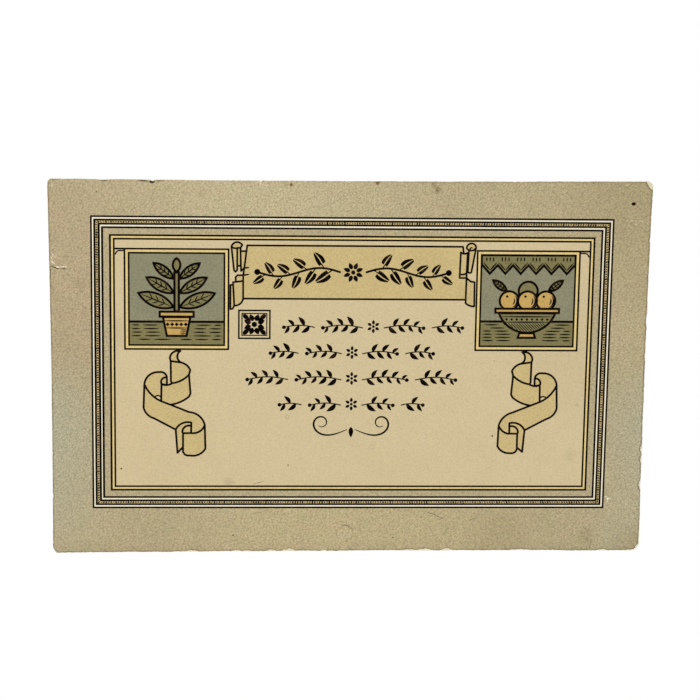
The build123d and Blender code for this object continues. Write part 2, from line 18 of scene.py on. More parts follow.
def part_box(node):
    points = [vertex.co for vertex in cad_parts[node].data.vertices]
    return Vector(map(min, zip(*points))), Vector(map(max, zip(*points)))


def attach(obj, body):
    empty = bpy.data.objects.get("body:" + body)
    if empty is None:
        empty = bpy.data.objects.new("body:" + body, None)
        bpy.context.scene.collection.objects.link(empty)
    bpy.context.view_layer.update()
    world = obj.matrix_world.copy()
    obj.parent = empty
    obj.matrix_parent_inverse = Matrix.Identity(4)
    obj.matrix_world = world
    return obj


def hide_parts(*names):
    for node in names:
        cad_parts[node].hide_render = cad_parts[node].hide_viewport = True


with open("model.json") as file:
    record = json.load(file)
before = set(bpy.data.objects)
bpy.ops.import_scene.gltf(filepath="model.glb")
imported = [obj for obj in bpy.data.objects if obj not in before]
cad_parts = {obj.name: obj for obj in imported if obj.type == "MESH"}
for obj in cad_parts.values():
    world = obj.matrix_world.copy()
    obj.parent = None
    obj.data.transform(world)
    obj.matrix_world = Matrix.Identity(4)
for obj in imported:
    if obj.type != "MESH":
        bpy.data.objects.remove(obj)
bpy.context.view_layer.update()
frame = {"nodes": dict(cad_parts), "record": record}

MM = 0.001
nodes = frame["nodes"]
print("pieces in the frame:", len(nodes))

# %% [markdown]
# ## Camera
#
# The card is seen from above, a little from the top edge. How the two short edges lean towards
# each other tells how far away the lens was, so the place, the turn and the focal length below
# were worked out together from the four corners. Guessing them by eye would never quite meet.

# %% Camera
IMAGE_PIXELS = 700
FOCAL_PIXELS = 2150
SENSOR_WIDTH = 36.0
CAMERA_PLACE = Vector((-27.5, 104.3, 493.1)) * MM
CAMERA_TURN = (-11.461, -3.040, 0.662)

camera_data = bpy.data.cameras.new("camera")
camera_data.sensor_width = SENSOR_WIDTH
camera_data.lens = SENSOR_WIDTH * FOCAL_PIXELS / IMAGE_PIXELS
camera = bpy.data.objects.new("camera", camera_data)
camera.location = CAMERA_PLACE
camera.rotation_euler = [math.radians(angle) for angle in CAMERA_TURN]
bpy.context.collection.objects.link(camera)
bpy.context.scene.camera = camera
bpy.context.scene.view_settings.view_transform = "Standard"
print(f"lens {camera_data.lens:.1f} mm, {CAMERA_PLACE.length:.3f} m from the card")

# %% [markdown]
# ## Wiring nodes
#
# Shaders and Geometry Nodes are both trees of nodes. One helper adds a node, sets its options and
# fills its inputs, either with a plain value or with another node, so that a finish can be read
# from top to bottom like a recipe.


# %% Node helpers
def outlet(source):
    """The first usable output of a node; sockets and plain values pass through."""
    if isinstance(source, bpy.types.Node):
        return next(socket for socket in source.outputs if socket.enabled)
    return source


def wire(tree, kind, inputs=None, **options):
    """Adds a node to a tree. Inputs are named by their label, or by number where labels repeat."""
    node = tree.nodes.new(kind)
    for option, value in options.items():
        setattr(node, option, value)
    for label, value in (inputs or {}).items():
        if isinstance(label, int):
            socket = node.inputs[label]
        else:
            socket = next(s for s in node.inputs if s.name == label and s.enabled)
        value = outlet(value)
        if isinstance(value, bpy.types.NodeSocket):
            tree.links.new(value, socket)
        else:
            socket.default_value = value
    return node


def reckon(tree, operation, first, second=0.0):
    """A sum on two numbers, worked out at every point."""
    return wire(tree, "ShaderNodeMath", {0: first, 1: second}, operation=operation)


# %% [markdown]
# ## Light, background and table
#
# A card is photographed under broad, soft light, so a large lamp hangs above it to the upper left
# and the world fills the rest. Together they light a flat card so that a colour comes out about
# as it is written. The camera sees the world as plain white. The table is white too and catches
# the card's thin shadow, but it neither blocks nor throws light, and it can't be seen from
# below, so the back of the card can be looked at as well.

# %% World and lamps
WORLD_LIGHT = 0.40
KEY_PLACE = (-0.45, 0.35, 1.05)
KEY_SIZE = 0.8
KEY_POWER = 8.2
FILL_PLACE = (0.60, -0.35, 0.95)
FILL_SIZE = 0.8
FILL_POWER = 2.7


def seen_straight(tree):
    """One for what the camera sees, also in a reflection or through glass, and zero for lighting."""
    ray = wire(tree, "ShaderNodeLightPath").outputs
    mirrored = reckon(tree, "MAXIMUM", ray["Is Glossy Ray"], ray["Is Transmission Ray"])
    return reckon(tree, "MAXIMUM", ray["Is Camera Ray"], mirrored)


world = bpy.data.worlds.new("studio")
bpy.context.scene.world = world
world.use_nodes = True
sky = world.node_tree
sky.nodes.clear()
strength = {"Value": seen_straight(sky), "To Min": WORLD_LIGHT, "To Max": 1.0}
strength = wire(sky, "ShaderNodeMapRange", strength)
glow = wire(sky, "ShaderNodeBackground", {"Color": (1, 1, 1, 1), "Strength": strength})
wire(sky, "ShaderNodeOutputWorld", {"Surface": glow})


def soft_lamp(name, place, size, power):
    """A square lamp that faces the middle of the card."""
    data = bpy.data.lights.new(name, "AREA")
    data.size = size
    data.energy = power
    lamp = bpy.data.objects.new(name, data)
    lamp.location = place
    lamp.rotation_euler = (-Vector(place)).to_track_quat("-Z", "Y").to_euler()
    bpy.context.collection.objects.link(lamp)


soft_lamp("key_lamp", KEY_PLACE, KEY_SIZE, KEY_POWER)
soft_lamp("fill_lamp", FILL_PLACE, FILL_SIZE, FILL_POWER)
print("two soft lamps and a white world")

# %% Table
TABLE_HALF = 2.0
TABLE_DROP = 0.02 * MM
TABLE_COLOUR = (0.95, 0.95, 0.95, 1)
TABLE_WHITE = 1.03
TABLE_GLOW = 0.75


def table_finish():
    """Matt white, mostly plain white to the camera, and not there at all from below."""
    material = bpy.data.materials.new("white_table")
    material.use_nodes = True
    tree = material.node_tree
    tree.nodes.clear()
    below = wire(tree, "ShaderNodeNewGeometry").outputs["Backfacing"]
    share = reckon(tree, "MULTIPLY", seen_straight(tree), TABLE_GLOW)
    matt = wire(tree, "ShaderNodeBsdfDiffuse", {"Color": TABLE_COLOUR})
    white = wire(tree, "ShaderNodeEmission", {"Color": (1, 1, 1, 1), "Strength": TABLE_WHITE})
    above = wire(tree, "ShaderNodeMixShader", {0: share, 1: matt, 2: white})
    clear = wire(tree, "ShaderNodeBsdfTransparent")
    both = wire(tree, "ShaderNodeMixShader", {0: below, 1: above, 2: clear})
    wire(tree, "ShaderNodeOutputMaterial", {"Surface": both})
    return material


QUARTERS = ((-1, -1), (1, -1), (1, 1), (-1, 1))
table_mesh = bpy.data.meshes.new("table")
table_corners = [(x * TABLE_HALF, y * TABLE_HALF, -TABLE_DROP) for x, y in QUARTERS]
table_mesh.from_pydata(table_corners, [], [(0, 1, 2, 3)])
table_mesh.materials.append(table_finish())
table = bpy.data.objects.new("table", table_mesh)
table.visible_diffuse = False
table.visible_shadow = False
bpy.context.collection.objects.link(table)
print(f"table top {TABLE_DROP / MM} mm under the card")

# %% [markdown]
# ## Finishes for paper and ink
#
# No printed colour is one flat tone. Ink sinks unevenly into the paper, so there are soft clouds a
# few millimetres wide, a fine grain from the fibres, and a bump at the same scale. All of it is
# noise read from the card's own coordinates, which stay put when the camera moves. The base
# colours come with the frame, one for each named material of the part. Two narrow inks are set
# lighter than that, because the black lines beside them take some of their light away. The black
# is set deeper, because fine lines are thinned by the paper between them, and the olive grey of
# the border is set a little yellower, as the paper under it is.

# %% Colours of the part
slot_colours = {entry["slot"]: (*entry["base_color"], 1.0) for entry in frame["record"]["materials"]}
slot_colours["hatch_ink"] = (0.55, 0.42, 0.19, 1)
slot_colours["ochre_ink"] = (0.76, 0.58, 0.235, 1)
slot_colours["black_ink"] = (0.0025, 0.0014, 0.0010, 1)
slot_colours["border_ink"] = (0.468, 0.388, 0.225, 1)
print("colours of the part:", ", ".join(slot_colours))

# %% Helpers for finishes
finishes = {}


def shade(colour, share):
    """A colour darkened or lightened by a share of itself."""
    return tuple(channel * share for channel in colour[:3]) + (1.0,)


def coordinates(tree):
    """The place of each point in the card's own frame."""
    return wire(tree, "ShaderNodeTexCoord").outputs["Object"]


def blots(tree, size, detail=2.0, shift=0.0):
    """Noise with blots about size across."""
    moved = {0: coordinates(tree), 1: (shift, shift, shift)}
    moved = wire(tree, "ShaderNodeVectorMath", moved, operation="ADD")
    return wire(tree, "ShaderNodeTexNoise", {"Vector": moved, "Scale": 1 / size, "Detail": detail})


def spread(tree, value, low, high, to_low=0.0, to_high=1.0):
    """A value's stretch from low to high, drawn out to another stretch."""
    limits = {"From Min": low, "From Max": high, "To Min": to_low, "To Max": to_high}
    return wire(tree, "ShaderNodeMapRange", {"Value": value, **limits})


def blend(tree, share, first, second):
    """Two colours mixed by a share."""
    return wire(tree, "ShaderNodeMix", {"Factor": share, "A": first, "B": second}, data_type="RGBA")


def toned(tree, colour, share):
    """A colour made lighter or darker by a share that changes over the surface."""
    return wire(tree, "ShaderNodeVectorMath", {0: colour, "Scale": share}, operation="SCALE")


def begin(name):
    """A new material and its tree of nodes."""
    material = bpy.data.materials.new(name + "_finish")
    material.use_nodes = True
    finishes[name] = material
    return material.node_tree


def complete(tree, colour, height, depth, roughness, gloss):
    """Joins a colour and a height to the material's surface."""
    surface = tree.nodes["Principled BSDF"]
    tree.links.new(outlet(colour), surface.inputs["Base Color"])
    surface.inputs["Roughness"].default_value = roughness
    surface.inputs["Specular IOR Level"].default_value = gloss
    bump = wire(tree, "ShaderNodeBump", {"Height": height, "Distance": depth, "Strength": 1.0})
    tree.links.new(outlet(bump), surface.inputs["Normal"])


# %% Clouds, grain and tooth
CLOUD_SIZE = 7 * MM
CLOUD_DETAIL = 3.0
CLOUD_STRETCH = (0.3, 0.7)
GRAIN_SIZE = 0.15 * MM
GRAIN_LENGTH = 1.6
GRAIN_TURN = math.radians(42)
PIT_SIZE = 0.37 * MM
PIT_SHARE = 0.9
PIT_REACH = 0.8
TOOTH_SIZE = 0.2 * MM
TOOTH_DEPTH = 0.002 * MM
TOOTH_DETAIL = 1.0


def misted(tree, colour, share):
    """A colour with soft clouds, lighter and darker by a share."""
    mist = spread(tree, blots(tree, CLOUD_SIZE, CLOUD_DETAIL), *CLOUD_STRETCH)
    return blend(tree, mist, shade(colour, 1 - share), shade(colour, 1 + share))


def grained(tree, colour, share):
    """A colour with a chance tone for each slanting fibre of the paper, and pits between them."""
    slanting = {"Vector": coordinates(tree), "Rotation": (0, 0, GRAIN_TURN)}
    slanting["Scale"] = (GRAIN_LENGTH, 1, 1)
    slanting = wire(tree, "ShaderNodeMapping", slanting, vector_type="TEXTURE")
    cells = wire(tree, "ShaderNodeTexVoronoi", {"Vector": slanting, "Scale": 1 / GRAIN_SIZE})
    tone = wire(tree, "ShaderNodeSeparateColor", {"Color": cells.outputs["Color"]}).outputs["Red"]
    colour = toned(tree, colour, spread(tree, tone, 0.0, 1.0, 1 - share, 1 + share))
    pits = {"Vector": slanting, "Scale": 1 / PIT_SIZE}
    pits = wire(tree, "ShaderNodeTexVoronoi", pits, voronoi_dimensions="2D").outputs["Distance"]
    depth = share * PIT_SHARE
    return toned(tree, colour, spread(tree, pits, 0.0, PIT_REACH, 1 + depth, 1 - depth))


def tooth(tree):
    """The smooth, shallow relief of the paper."""
    return blots(tree, TOOTH_SIZE, TOOTH_DETAIL)


# %% Plain inks and papers
INK = {"roughness": 0.62, "gloss": 0.12}
PAPER = {"roughness": 0.85, "gloss": 0.10}
INK_CLOUDS_AND_GRAIN = {
    "hatch_ink": (0.06, 0.16),
    "ochre_ink": (0.04, 0.10),
    "straw_ink": (0.045, 0.09),
    "grey_ink": (0.05, 0.12),
    "olive_ink": (0.05, 0.12),
    "amber_ink": (0.04, 0.10),
    "back_ink": (0.10, 0.20),
}
PAPER_CLOUDS_AND_GRAIN = {
    "face_stock": (0.03, 0.06),
    "core_stock": (0.05, 0.14),
    "dried_paste": (0.06, 0.10),
}
BAND_CLOUDS_AND_GRAIN = (0.04, 0.18)


def plain_finish(name, slot, clouds, grain, surface):
    """A finish of one clouded, grainy colour, that of a named material of the part."""
    tree = begin(name)
    colour = misted(tree, slot_colours[slot], clouds)
    complete(tree, grained(tree, colour, grain), tooth(tree), TOOTH_DEPTH, **surface)


for slot, (clouds, grain) in INK_CLOUDS_AND_GRAIN.items():
    plain_finish(slot, slot, clouds, grain, INK)
for slot, (clouds, grain) in PAPER_CLOUDS_AND_GRAIN.items():
    plain_finish(slot, slot, clouds, grain, PAPER)
plain_finish("band_tint", "border_ink", *BAND_CLOUDS_AND_GRAIN, INK)
print("plain finishes:", ", ".join(finishes))

# %% [markdown]
# ### Black line ink
#
# The lines were printed last, in a warm black. Where the plate gave a little less ink the line is
# thin and brown, which shows as short lighter stretches. A noise pushed towards its high end says
# where. The same black, browner and rougher, serves for the dirt that has settled on the card, and
# for painted shadow: under the lifted lip of the tear and along the step of the lost corner.

# %% Black ink, dirt and painted shadow
THIN_INK = (0.036, 0.017, 0.010, 1)
STARVED_SIZE = 1.8 * MM
STARVED_STRETCH = (0.52, 0.78)
# browns for dirt, and for painted shadow under the tear's lip and along the lost corner
DIRT_AND_SHADE = (0.085, 0.056, 0.024, 1)
DEEP_DIRT_AND_SHADE = (0.012, 0.007, 0.004, 1)
DIRT_AND_SHADE_SIZE = 0.5 * MM
DIRT_AND_SHADE_STRETCH = (0.40, 0.62)
BLOTCH_DETAIL = 4.0
DULL = {"roughness": 0.8, "gloss": 0.02}


def blotched_finish(name, colour, second, size, stretch):
    """A finish of one colour that gives way to a second in blotches."""
    tree = begin(name)
    share = spread(tree, blots(tree, size, BLOTCH_DETAIL), *stretch)
    complete(tree, blend(tree, share, colour, second), tooth(tree), TOOTH_DEPTH, **DULL)
    print(f"{name}: {len(tree.nodes)} nodes")


blotched_finish("black_ink", slot_colours["black_ink"], THIN_INK, STARVED_SIZE, STARVED_STRETCH)
blotched_finish("dirt", DEEP_DIRT_AND_SHADE, DIRT_AND_SHADE, DIRT_AND_SHADE_SIZE, DIRT_AND_SHADE_STRETCH)

# %% [markdown]
# ### Stains and painted light
#
# An old card has a history: rings from a wet glass, brown foxing, places where fingers held it and
# where the ink has faded. Some of the wide soft patches on the border are painted light instead: a
# painted pool of light that lightens the top, painted shade that darkens the right side, and a
# painted cool cast of light down the lower left and right. Each is a soft round patch with a place,
# a size and a colour. A distance from the patch's middle, roughened by noise, gives its edge. A ring
# is the same with a hollow middle.

# %% Colours of stains, and of painted light and shade
FOXING = (0.190, 0.118, 0.042, 1)
DAMP = (0.330, 0.275, 0.160, 1)
# also the painted pool of light that lightens the top of the border
FADED_AND_PAINTED_LIGHT = (0.600, 0.520, 0.315, 1)
SUNNED = (0.580, 0.470, 0.240, 1)
# marks of handling, and the painted shade that darkens the right side of the border
HANDLED_AND_PAINTED_SHADE = (0.355, 0.285, 0.152, 1)
# the painted cool cast of light at the lower left and right
PAINTED_COOL_LIGHT = (0.440, 0.405, 0.268, 1)
ROSY = (0.465, 0.345, 0.218, 1)
WARMED = (0.620, 0.455, 0.255, 1)

# %% Laying stains and painted light on a colour
PATCH_RAG = 0.5 * MM
PATCH_SHIFT = 0.7
FULL_RAG_RADIUS = 2.0
RING_HOLLOW = 2.0


def with_stains_and_painted_light(tree, colour, stains_and_light, level):
    """Lays soft patches over a colour: x, y, radius, softness, strength, tint, and ring or patch."""
    rag = blots(tree, PATCH_RAG, shift=PATCH_SHIFT)
    rag = spread(tree, rag, 0.0, 1.0, -PATCH_RAG, PATCH_RAG)
    for x, y, radius, softness, strength, tint, kind in stains_and_light:
        middle = (x * MM, y * MM, level)
        away = {0: coordinates(tree), 1: middle}
        away = wire(tree, "ShaderNodeVectorMath", away, operation="DISTANCE")
        ragged_share = min(1.0, radius / FULL_RAG_RADIUS)
        away = reckon(tree, "ADD", away, reckon(tree, "MULTIPLY", rag, ragged_share))
        share = spread(tree, away, (radius + softness) * MM, radius * MM, 0.0, strength)
        if kind == "ring":
            inside = spread(tree, away, (radius - RING_HOLLOW * softness) * MM, radius * MM)
            share = reckon(tree, "MULTIPLY", share, inside)
        colour = blend(tree, share, colour, tint)
    return colour


# %% Where the stains and the painted light and shade are
# x, y, radius, softness, strength, tint and kind of each, with lengths in millimetres
BORDER_STAINS_AND_PAINTED_LIGHT = (
    # a painted pool of light over the top, lighter than the rest of the border
    (-20.0, 42.0, 10.0, 32.0, 0.42, FADED_AND_PAINTED_LIGHT, "patch"),
    (2.0, -42.0, 24.0, 26.0, 0.26, SUNNED, "patch"),
    # darker brown patches: at the left marks of handling, at the right painted shade that darkens that
    # side
    (-48.0, -42.0, 4.0, 14.0, 0.15, HANDLED_AND_PAINTED_SHADE, "patch"),
    (65.0, 41.0, 3.0, 18.0, 0.52, HANDLED_AND_PAINTED_SHADE, "patch"),
    (66.0, 22.0, 2.0, 14.0, 0.18, HANDLED_AND_PAINTED_SHADE, "patch"),
    (-67.0, 3.0, 4.0, 13.0, 0.26, HANDLED_AND_PAINTED_SHADE, "patch"),
    (40.0, -42.0, 6.0, 24.0, 0.16, HANDLED_AND_PAINTED_SHADE, "patch"),
    (-66.0, 20.0, 14.0, 18.0, 0.34, ROSY, "patch"),
    # a painted cool cast of light down the lower left and right sides
    (-71.0, -9.0, 3.0, 12.0, 0.75, PAINTED_COOL_LIGHT, "patch"),
    (-71.0, -21.0, 5.0, 13.0, 0.72, PAINTED_COOL_LIGHT, "patch"),
    (-71.0, -35.0, 3.0, 12.0, 0.50, PAINTED_COOL_LIGHT, "patch"),
    (71.0, -12.0, 3.0, 12.0, 0.75, PAINTED_COOL_LIGHT, "patch"),
    (71.0, -25.0, 3.0, 12.0, 0.62, PAINTED_COOL_LIGHT, "patch"),
    (66.0, -40.0, 2.0, 10.0, 0.50, PAINTED_COOL_LIGHT, "patch"),
    # painted shade in the bottom right corner
    (70.0, -45.0, 2.0, 7.0, 0.55, HANDLED_AND_PAINTED_SHADE, "patch"),
    (-0.9, -40.2, 1.6, 0.4, 0.16, FADED_AND_PAINTED_LIGHT, "patch"),
    (-1.6, -41.6, 0.5, 0.8, 0.22, FADED_AND_PAINTED_LIGHT, "patch"),
    (-0.9, -40.0, 2.0, 0.15, 0.30, FOXING, "ring"),
    (-34.4, 41.4, 0.7, 0.25, 0.24, FOXING, "ring"),
    (36.0, -40.0, 3.0, 6.0, 0.10, FOXING, "patch"),
    (19.8, 42.5, 0.50, 0.4, 0.52, FOXING, "patch"),
    (19.6, 41.8, 0.25, 0.4, 0.36, FOXING, "patch"),
    (18.8, 43.5, 0.40, 0.4, 0.44, FOXING, "patch"),
    (5.75, 43.9, 0.35, 0.25, 0.95, FOXING, "patch"),
    (-14.2, 43.4, 0.25, 0.25, 1.00, FOXING, "patch"),
    (-15.4, 43.6, 0.40, 0.5, 0.22, FOXING, "ring"),
    (-37.0, 33.0, 0.4, 0.9, 0.20, FOXING, "patch"),
    (-63.0, 20.2, 0.8, 1.5, 0.16, FOXING, "patch"),
    (56.7, 19.0, 0.2, 0.35, 0.85, FOXING, "patch"),
    (-19.7, -30.3, 0.55, 0.2, 0.50, DAMP, "ring"),
    (57.3, -41.0, 0.8, 2.2, 0.20, FOXING, "patch"),
)
PANEL_STAINS = (
    (-14.8, -11.5, 0.50, 0.2, 0.36, DAMP, "ring"),
    (5.3, -18.8, 0.60, 0.2, 0.30, DAMP, "ring"),
    (-28.7, -27.2, 0.5, 0.9, 0.30, DAMP, "patch"),
    (-27.4, -27.4, 0.2, 0.5, 0.26, DAMP, "patch"),
    (52.5, -21.1, 0.6, 1.6, 0.18, DAMP, "patch"),
    (53.8, -8.6, 0.15, 0.35, 0.25, FOXING, "patch"),
    (53.0, 6.0, 6.0, 14.0, 0.12, HANDLED_AND_PAINTED_SHADE, "patch"),
    (-57.0, 9.0, 2.0, 4.0, 0.30, HANDLED_AND_PAINTED_SHADE, "patch"),
    (-44.0, -18.0, 8.0, 12.0, 0.14, WARMED, "patch"),
    (10.0, -26.0, 4.0, 14.0, 0.07, WARMED, "patch"),
)
BACK_STAINS = (
    (-31.0, 22.0, 0.4, 0.7, 0.45, FOXING, "patch"),
    (-46.5, -8.0, 0.3, 0.5, 0.50, FOXING, "patch"),
    (12.5, 30.5, 0.5, 0.8, 0.35, FOXING, "patch"),
    (38.0, -24.0, 0.3, 0.6, 0.45, FOXING, "patch"),
    (24.0, -12.0, 9.0, 0.5, 0.20, FOXING, "ring"),
    (-58.0, -33.0, 4.0, 9.0, 0.30, FOXING, "patch"),
)
print("stains on border, panel and back:", len(BORDER_STAINS_AND_PAINTED_LIGHT), len(PANEL_STAINS), len(BACK_STAINS))

# %% [markdown]
# ### Border, panel and back
#
# The wide border is printed in olive grey and carries most of the wear. It is tinged green and pink
# in soft blots under its stains and its patches of painted light and shade. Dirt has darkened its
# edges, and thumbs a wider strip along the bottom. A number stored on its mesh, made further down
# with the worn edges, tells the finish how far each point lies from the edge. The cream panel is
# nearly even, and the back is toned by age towards its edges.

# %% Dirt along the border's rim
RIM_REACH = 0.42 * MM
RIM_ENDS = (3 * MM, 1 * MM)
RIM_FOOT = (4 * MM, 2 * MM)
RIM_TOP = (-32 * MM, 12 * MM)
RIM_TOP_DIRT = (0.08, 0.50)
RIM_PATCH = 2.2 * MM
RIM_PATCH_DETAIL = 3.0
RIM_PATCH_DIRT = (0.4, 0.95)
BLOT_STRETCH = (0.35, 0.65)
THUMB_REACH = 3.0 * MM
THUMB_TONE = 0.09

half_width, half_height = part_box("core_board")[1].xy
print(f"the card reaches {half_width / MM:.2f} and {half_height / MM:.2f} mm from its middle")


def rim_dirt(tree, place):
    """How dirty a point of the border is: along every edge, but little at the top left."""
    edge = wire(tree, "ShaderNodeAttribute", attribute_name="edge").outputs["Fac"]
    rim = spread(tree, edge, RIM_REACH, 0.0)
    ends = reckon(tree, "ABSOLUTE", place["X"])
    ends = spread(tree, ends, *[half_width - depth for depth in RIM_ENDS])
    upper = spread(tree, place["X"], *RIM_TOP, *RIM_TOP_DIRT)
    lower = spread(tree, place["Y"], *[depth - half_height for depth in RIM_FOOT])
    side = reckon(tree, "MAXIMUM", ends, reckon(tree, "MAXIMUM", upper, lower))
    patch = spread(tree, blots(tree, RIM_PATCH, RIM_PATCH_DETAIL), *BLOT_STRETCH, *RIM_PATCH_DIRT)
    line = reckon(tree, "MULTIPLY", reckon(tree, "MULTIPLY", rim, side), patch)
    thumbed = spread(tree, edge, THUMB_REACH, 0.0, 0.0, THUMB_TONE)
    return reckon(tree, "MAXIMUM", line, reckon(tree, "MULTIPLY", thumbed, lower))


# %% Border ink
BORDER_CLOUDS = 0.03
BORDER_GRAIN = 0.20
BORDER_TOOTH = 0.003 * MM
TINGE = 0.026
TINGE_SIZE = 5 * MM
TINGE_DETAIL = 5.0
TINGE_SHIFT = 0.3


def top_of(node):
    """The height of a node's upper side."""
    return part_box(node)[1].z


def border_finish():
    """Olive grey with a slanting grain, stained, dirty-edged, and with painted light and shade."""
    tree = begin("border_ink")
    place = wire(tree, "ShaderNodeSeparateXYZ", {"Vector": coordinates(tree)}).outputs
    colour = misted(tree, slot_colours["border_ink"], BORDER_CLOUDS)
    share = spread(tree, blots(tree, TINGE_SIZE, TINGE_DETAIL, TINGE_SHIFT), *BLOT_STRETCH)
    tinge = blend(tree, share, (1 - TINGE, 1, 1 - TINGE, 1), (1 + TINGE, 1, 1 + TINGE, 1))
    colour = wire(tree, "ShaderNodeVectorMath", {0: colour, 1: tinge}, operation="MULTIPLY")
    colour = with_stains_and_painted_light(tree, colour, BORDER_STAINS_AND_PAINTED_LIGHT, top_of("face_paper"))
    colour = grained(tree, colour, BORDER_GRAIN)
    colour = blend(tree, rim_dirt(tree, place), colour, DIRT_AND_SHADE)
    complete(tree, colour, tooth(tree), BORDER_TOOTH, **INK)
    print("border ink:", len(tree.nodes), "nodes")


border_finish()

# %% Cream panel and the back
PANEL_CLOUDS = 0.015
PANEL_GRAIN = 0.06
BACK_CLOUDS = 0.04
BACK_GRAIN = 0.12
BACK_TONE = (0.455, 0.370, 0.215, 1)
TONE_SHARE = 0.6
TONE_REACH = 9 * MM
TONE_WANDER = 3 * MM


def panel_finish():
    """Cream, almost even, with faint rings and smudges."""
    tree = begin("cream_ink")
    colour = misted(tree, slot_colours["cream_ink"], PANEL_CLOUDS)
    colour = with_stains_and_painted_light(tree, colour, PANEL_STAINS, top_of("face_paper"))
    complete(tree, grained(tree, colour, PANEL_GRAIN), tooth(tree), TOOTH_DEPTH, **INK)


def back_finish():
    """Plain paper that has browned from its edges inwards, with a few spots."""
    tree = begin("back_stock")
    colour = misted(tree, slot_colours["back_stock"], BACK_CLOUDS)
    place = wire(tree, "ShaderNodeSeparateXYZ", {"Vector": coordinates(tree)}).outputs
    side = reckon(tree, "SUBTRACT", half_width, reckon(tree, "ABSOLUTE", place["X"]))
    end = reckon(tree, "SUBTRACT", half_height, reckon(tree, "ABSOLUTE", place["Y"]))
    wander = spread(tree, blots(tree, CLOUD_SIZE), *CLOUD_STRETCH, -TONE_WANDER, TONE_WANDER)
    edge = reckon(tree, "ADD", reckon(tree, "MINIMUM", side, end), wander)
    browned = spread(tree, edge, TONE_REACH, 0.0, 0.0, TONE_SHARE)
    colour = blend(tree, browned, colour, BACK_TONE)
    colour = with_stains_and_painted_light(tree, colour, BACK_STAINS, 0.0)
    complete(tree, grained(tree, colour, BACK_GRAIN), tooth(tree), TOOTH_DEPTH, **PAPER)


panel_finish()
back_finish()
print("finishes:", len(finishes))

# %% Lay the finishes on the frame's pieces
for node in nodes.values():
    slot = node.material_slots[0].material.name
    node.material_slots[0].material = finishes[slot]
nodes["grey_band"].material_slots[0].material = finishes["band_tint"]
print("pieces with a finish:", len(nodes))

# %% [markdown]
# ## Worn edges
#
# A pasted board never keeps its knife-cut edge. The corners are rubbed round, the edge frays, small
# nicks break in, and the face paper has lost one corner and flakes along the edge, where the pale
# core shows. Every layer is built the same way: a line of points runs round the card, each layer
# frays that line by its own noise, and rings of points step inwards from it to a flat middle. The
# rings leave enough points near the edge to squeeze the board thin there and, in the face paper,
# to raise the lip of a short tear.

# %% The card's edge as a line of points
# each corner, and the radius in millimetres that it is rubbed to
CORNER_WEAR = (((1, -1), 2.9), ((1, 1), 1.7), ((-1, 1), 1.2), ((-1, -1), 1.8))
TRIM = 0.25 * MM
CORNER_STEPS = 7
EDGE_STEP = 0.24 * MM
TEAR_STEP = 0.12 * MM
TEAR_ZONE = 2.2 * MM
TEAR_MOUTH = (-half_width, 25.2 * MM)


def card_edge():
    """Points round the card, anticlockwise, close together and closer still at the tear."""
    corners = []
    for place, ((side, end), wear) in enumerate(CORNER_WEAR):
        radius = wear * MM
        reach = Vector((half_width + TRIM - radius, half_height + TRIM - radius))
        middle = Vector((side * reach.x, end * reach.y))
        for step in range(CORNER_STEPS):
            angle = math.pi / 2 * (place - 1 + step / (CORNER_STEPS - 1))
            corners.append(middle + radius * Vector((math.cos(angle), math.sin(angle))))
    points = []
    for start, stop in zip(corners, corners[1:] + corners[:1]):
        spot = start.copy()
        along = (stop - start).normalized()
        while (stop - spot).length > TEAR_STEP / 2:
            points.append((spot.x, spot.y))
            near = math.dist(spot, TEAR_MOUTH) < TEAR_ZONE
            spot += along * min(TEAR_STEP if near else EDGE_STEP, (stop - spot).length)
    return points


def inset(point, depth):
    """The nearest place that is at least depth inside the card's rectangle."""
    x, y = point
    reach_x = half_width - depth
    reach_y = half_height - depth
    return min(max(x, -reach_x), reach_x), min(max(y, -reach_y), reach_y)


edge_line = card_edge()
print("points round the card:", len(edge_line))

# %% Nicks and flakes
# for each edge: the place along it, half a width and a depth, in millimetres
EDGES = {"left": (-1, 0), "bottom": (0, -1), "right": (1, 0), "top": (0, 1)}
NICKS = {
    "right": ((-28.3, 0.9, 0.08), (12.0, 1.6, 0.22), (31.0, 0.9, 0.14)),
    "top": ((-46.1, 0.6, 0.26), (-57.0, 2.0, 0.14)),
    "left": ((24.6, 0.30, 0.30), (-30.5, 0.7, 0.16)),
}
FLAKES = {
    "bottom": (
        (-37.2, 1.9, 0.30),
        (-26.5, 0.9, 0.28),
        (-24.1, 0.9, 0.24),
        (-18.6, 1.2, 0.40),
        (-14.3, 1.7, 0.44),
        (-5.8, 0.7, 0.30),
        (14.6, 1.6, 0.30),
        (18.3, 2.2, 0.40),
        (23.4, 1.4, 0.55),
        (41.0, 2.5, 0.22),
        (61.0, 1.2, 0.26),
    ),
    "right": (
        (-19.4, 1.3, 0.36),
        (-22.0, 1.0, 0.34),
        (-28.2, 1.4, 0.36),
        (-43.6, 0.7, 0.30),
        (3.0, 1.0, 0.20),
    ),
    "top": ((-21.3, 0.5, 0.40), (-26.8, 0.4, 0.28)),
}


def on_edges(table):
    """The bites of a table of edges, with x and y in place of the edge and the place along it."""
    bites = []
    for edge, rows in table.items():
        side, end = EDGES[edge]
        for place, width, depth in rows:
            x = side * half_width / MM + abs(end) * place
            y = end * half_height / MM + abs(side) * place
            bites.append((x, y, width, depth))
    return bites


def bitten(point, bites):
    """How deep the bites at x, y, of half a width and a depth, go into the edge at a point."""
    depth = 0.0
    for x, y, width, bite in bites:
        away = math.dist(point, (x * MM, y * MM)) / (width * MM)
        depth += bite * MM * max(0.0, 1 - away**2)
    return depth


nicks = on_edges(NICKS)
flakes = on_edges(FLAKES)
print(len(nicks), "nicks and", len(flakes), "flakes")

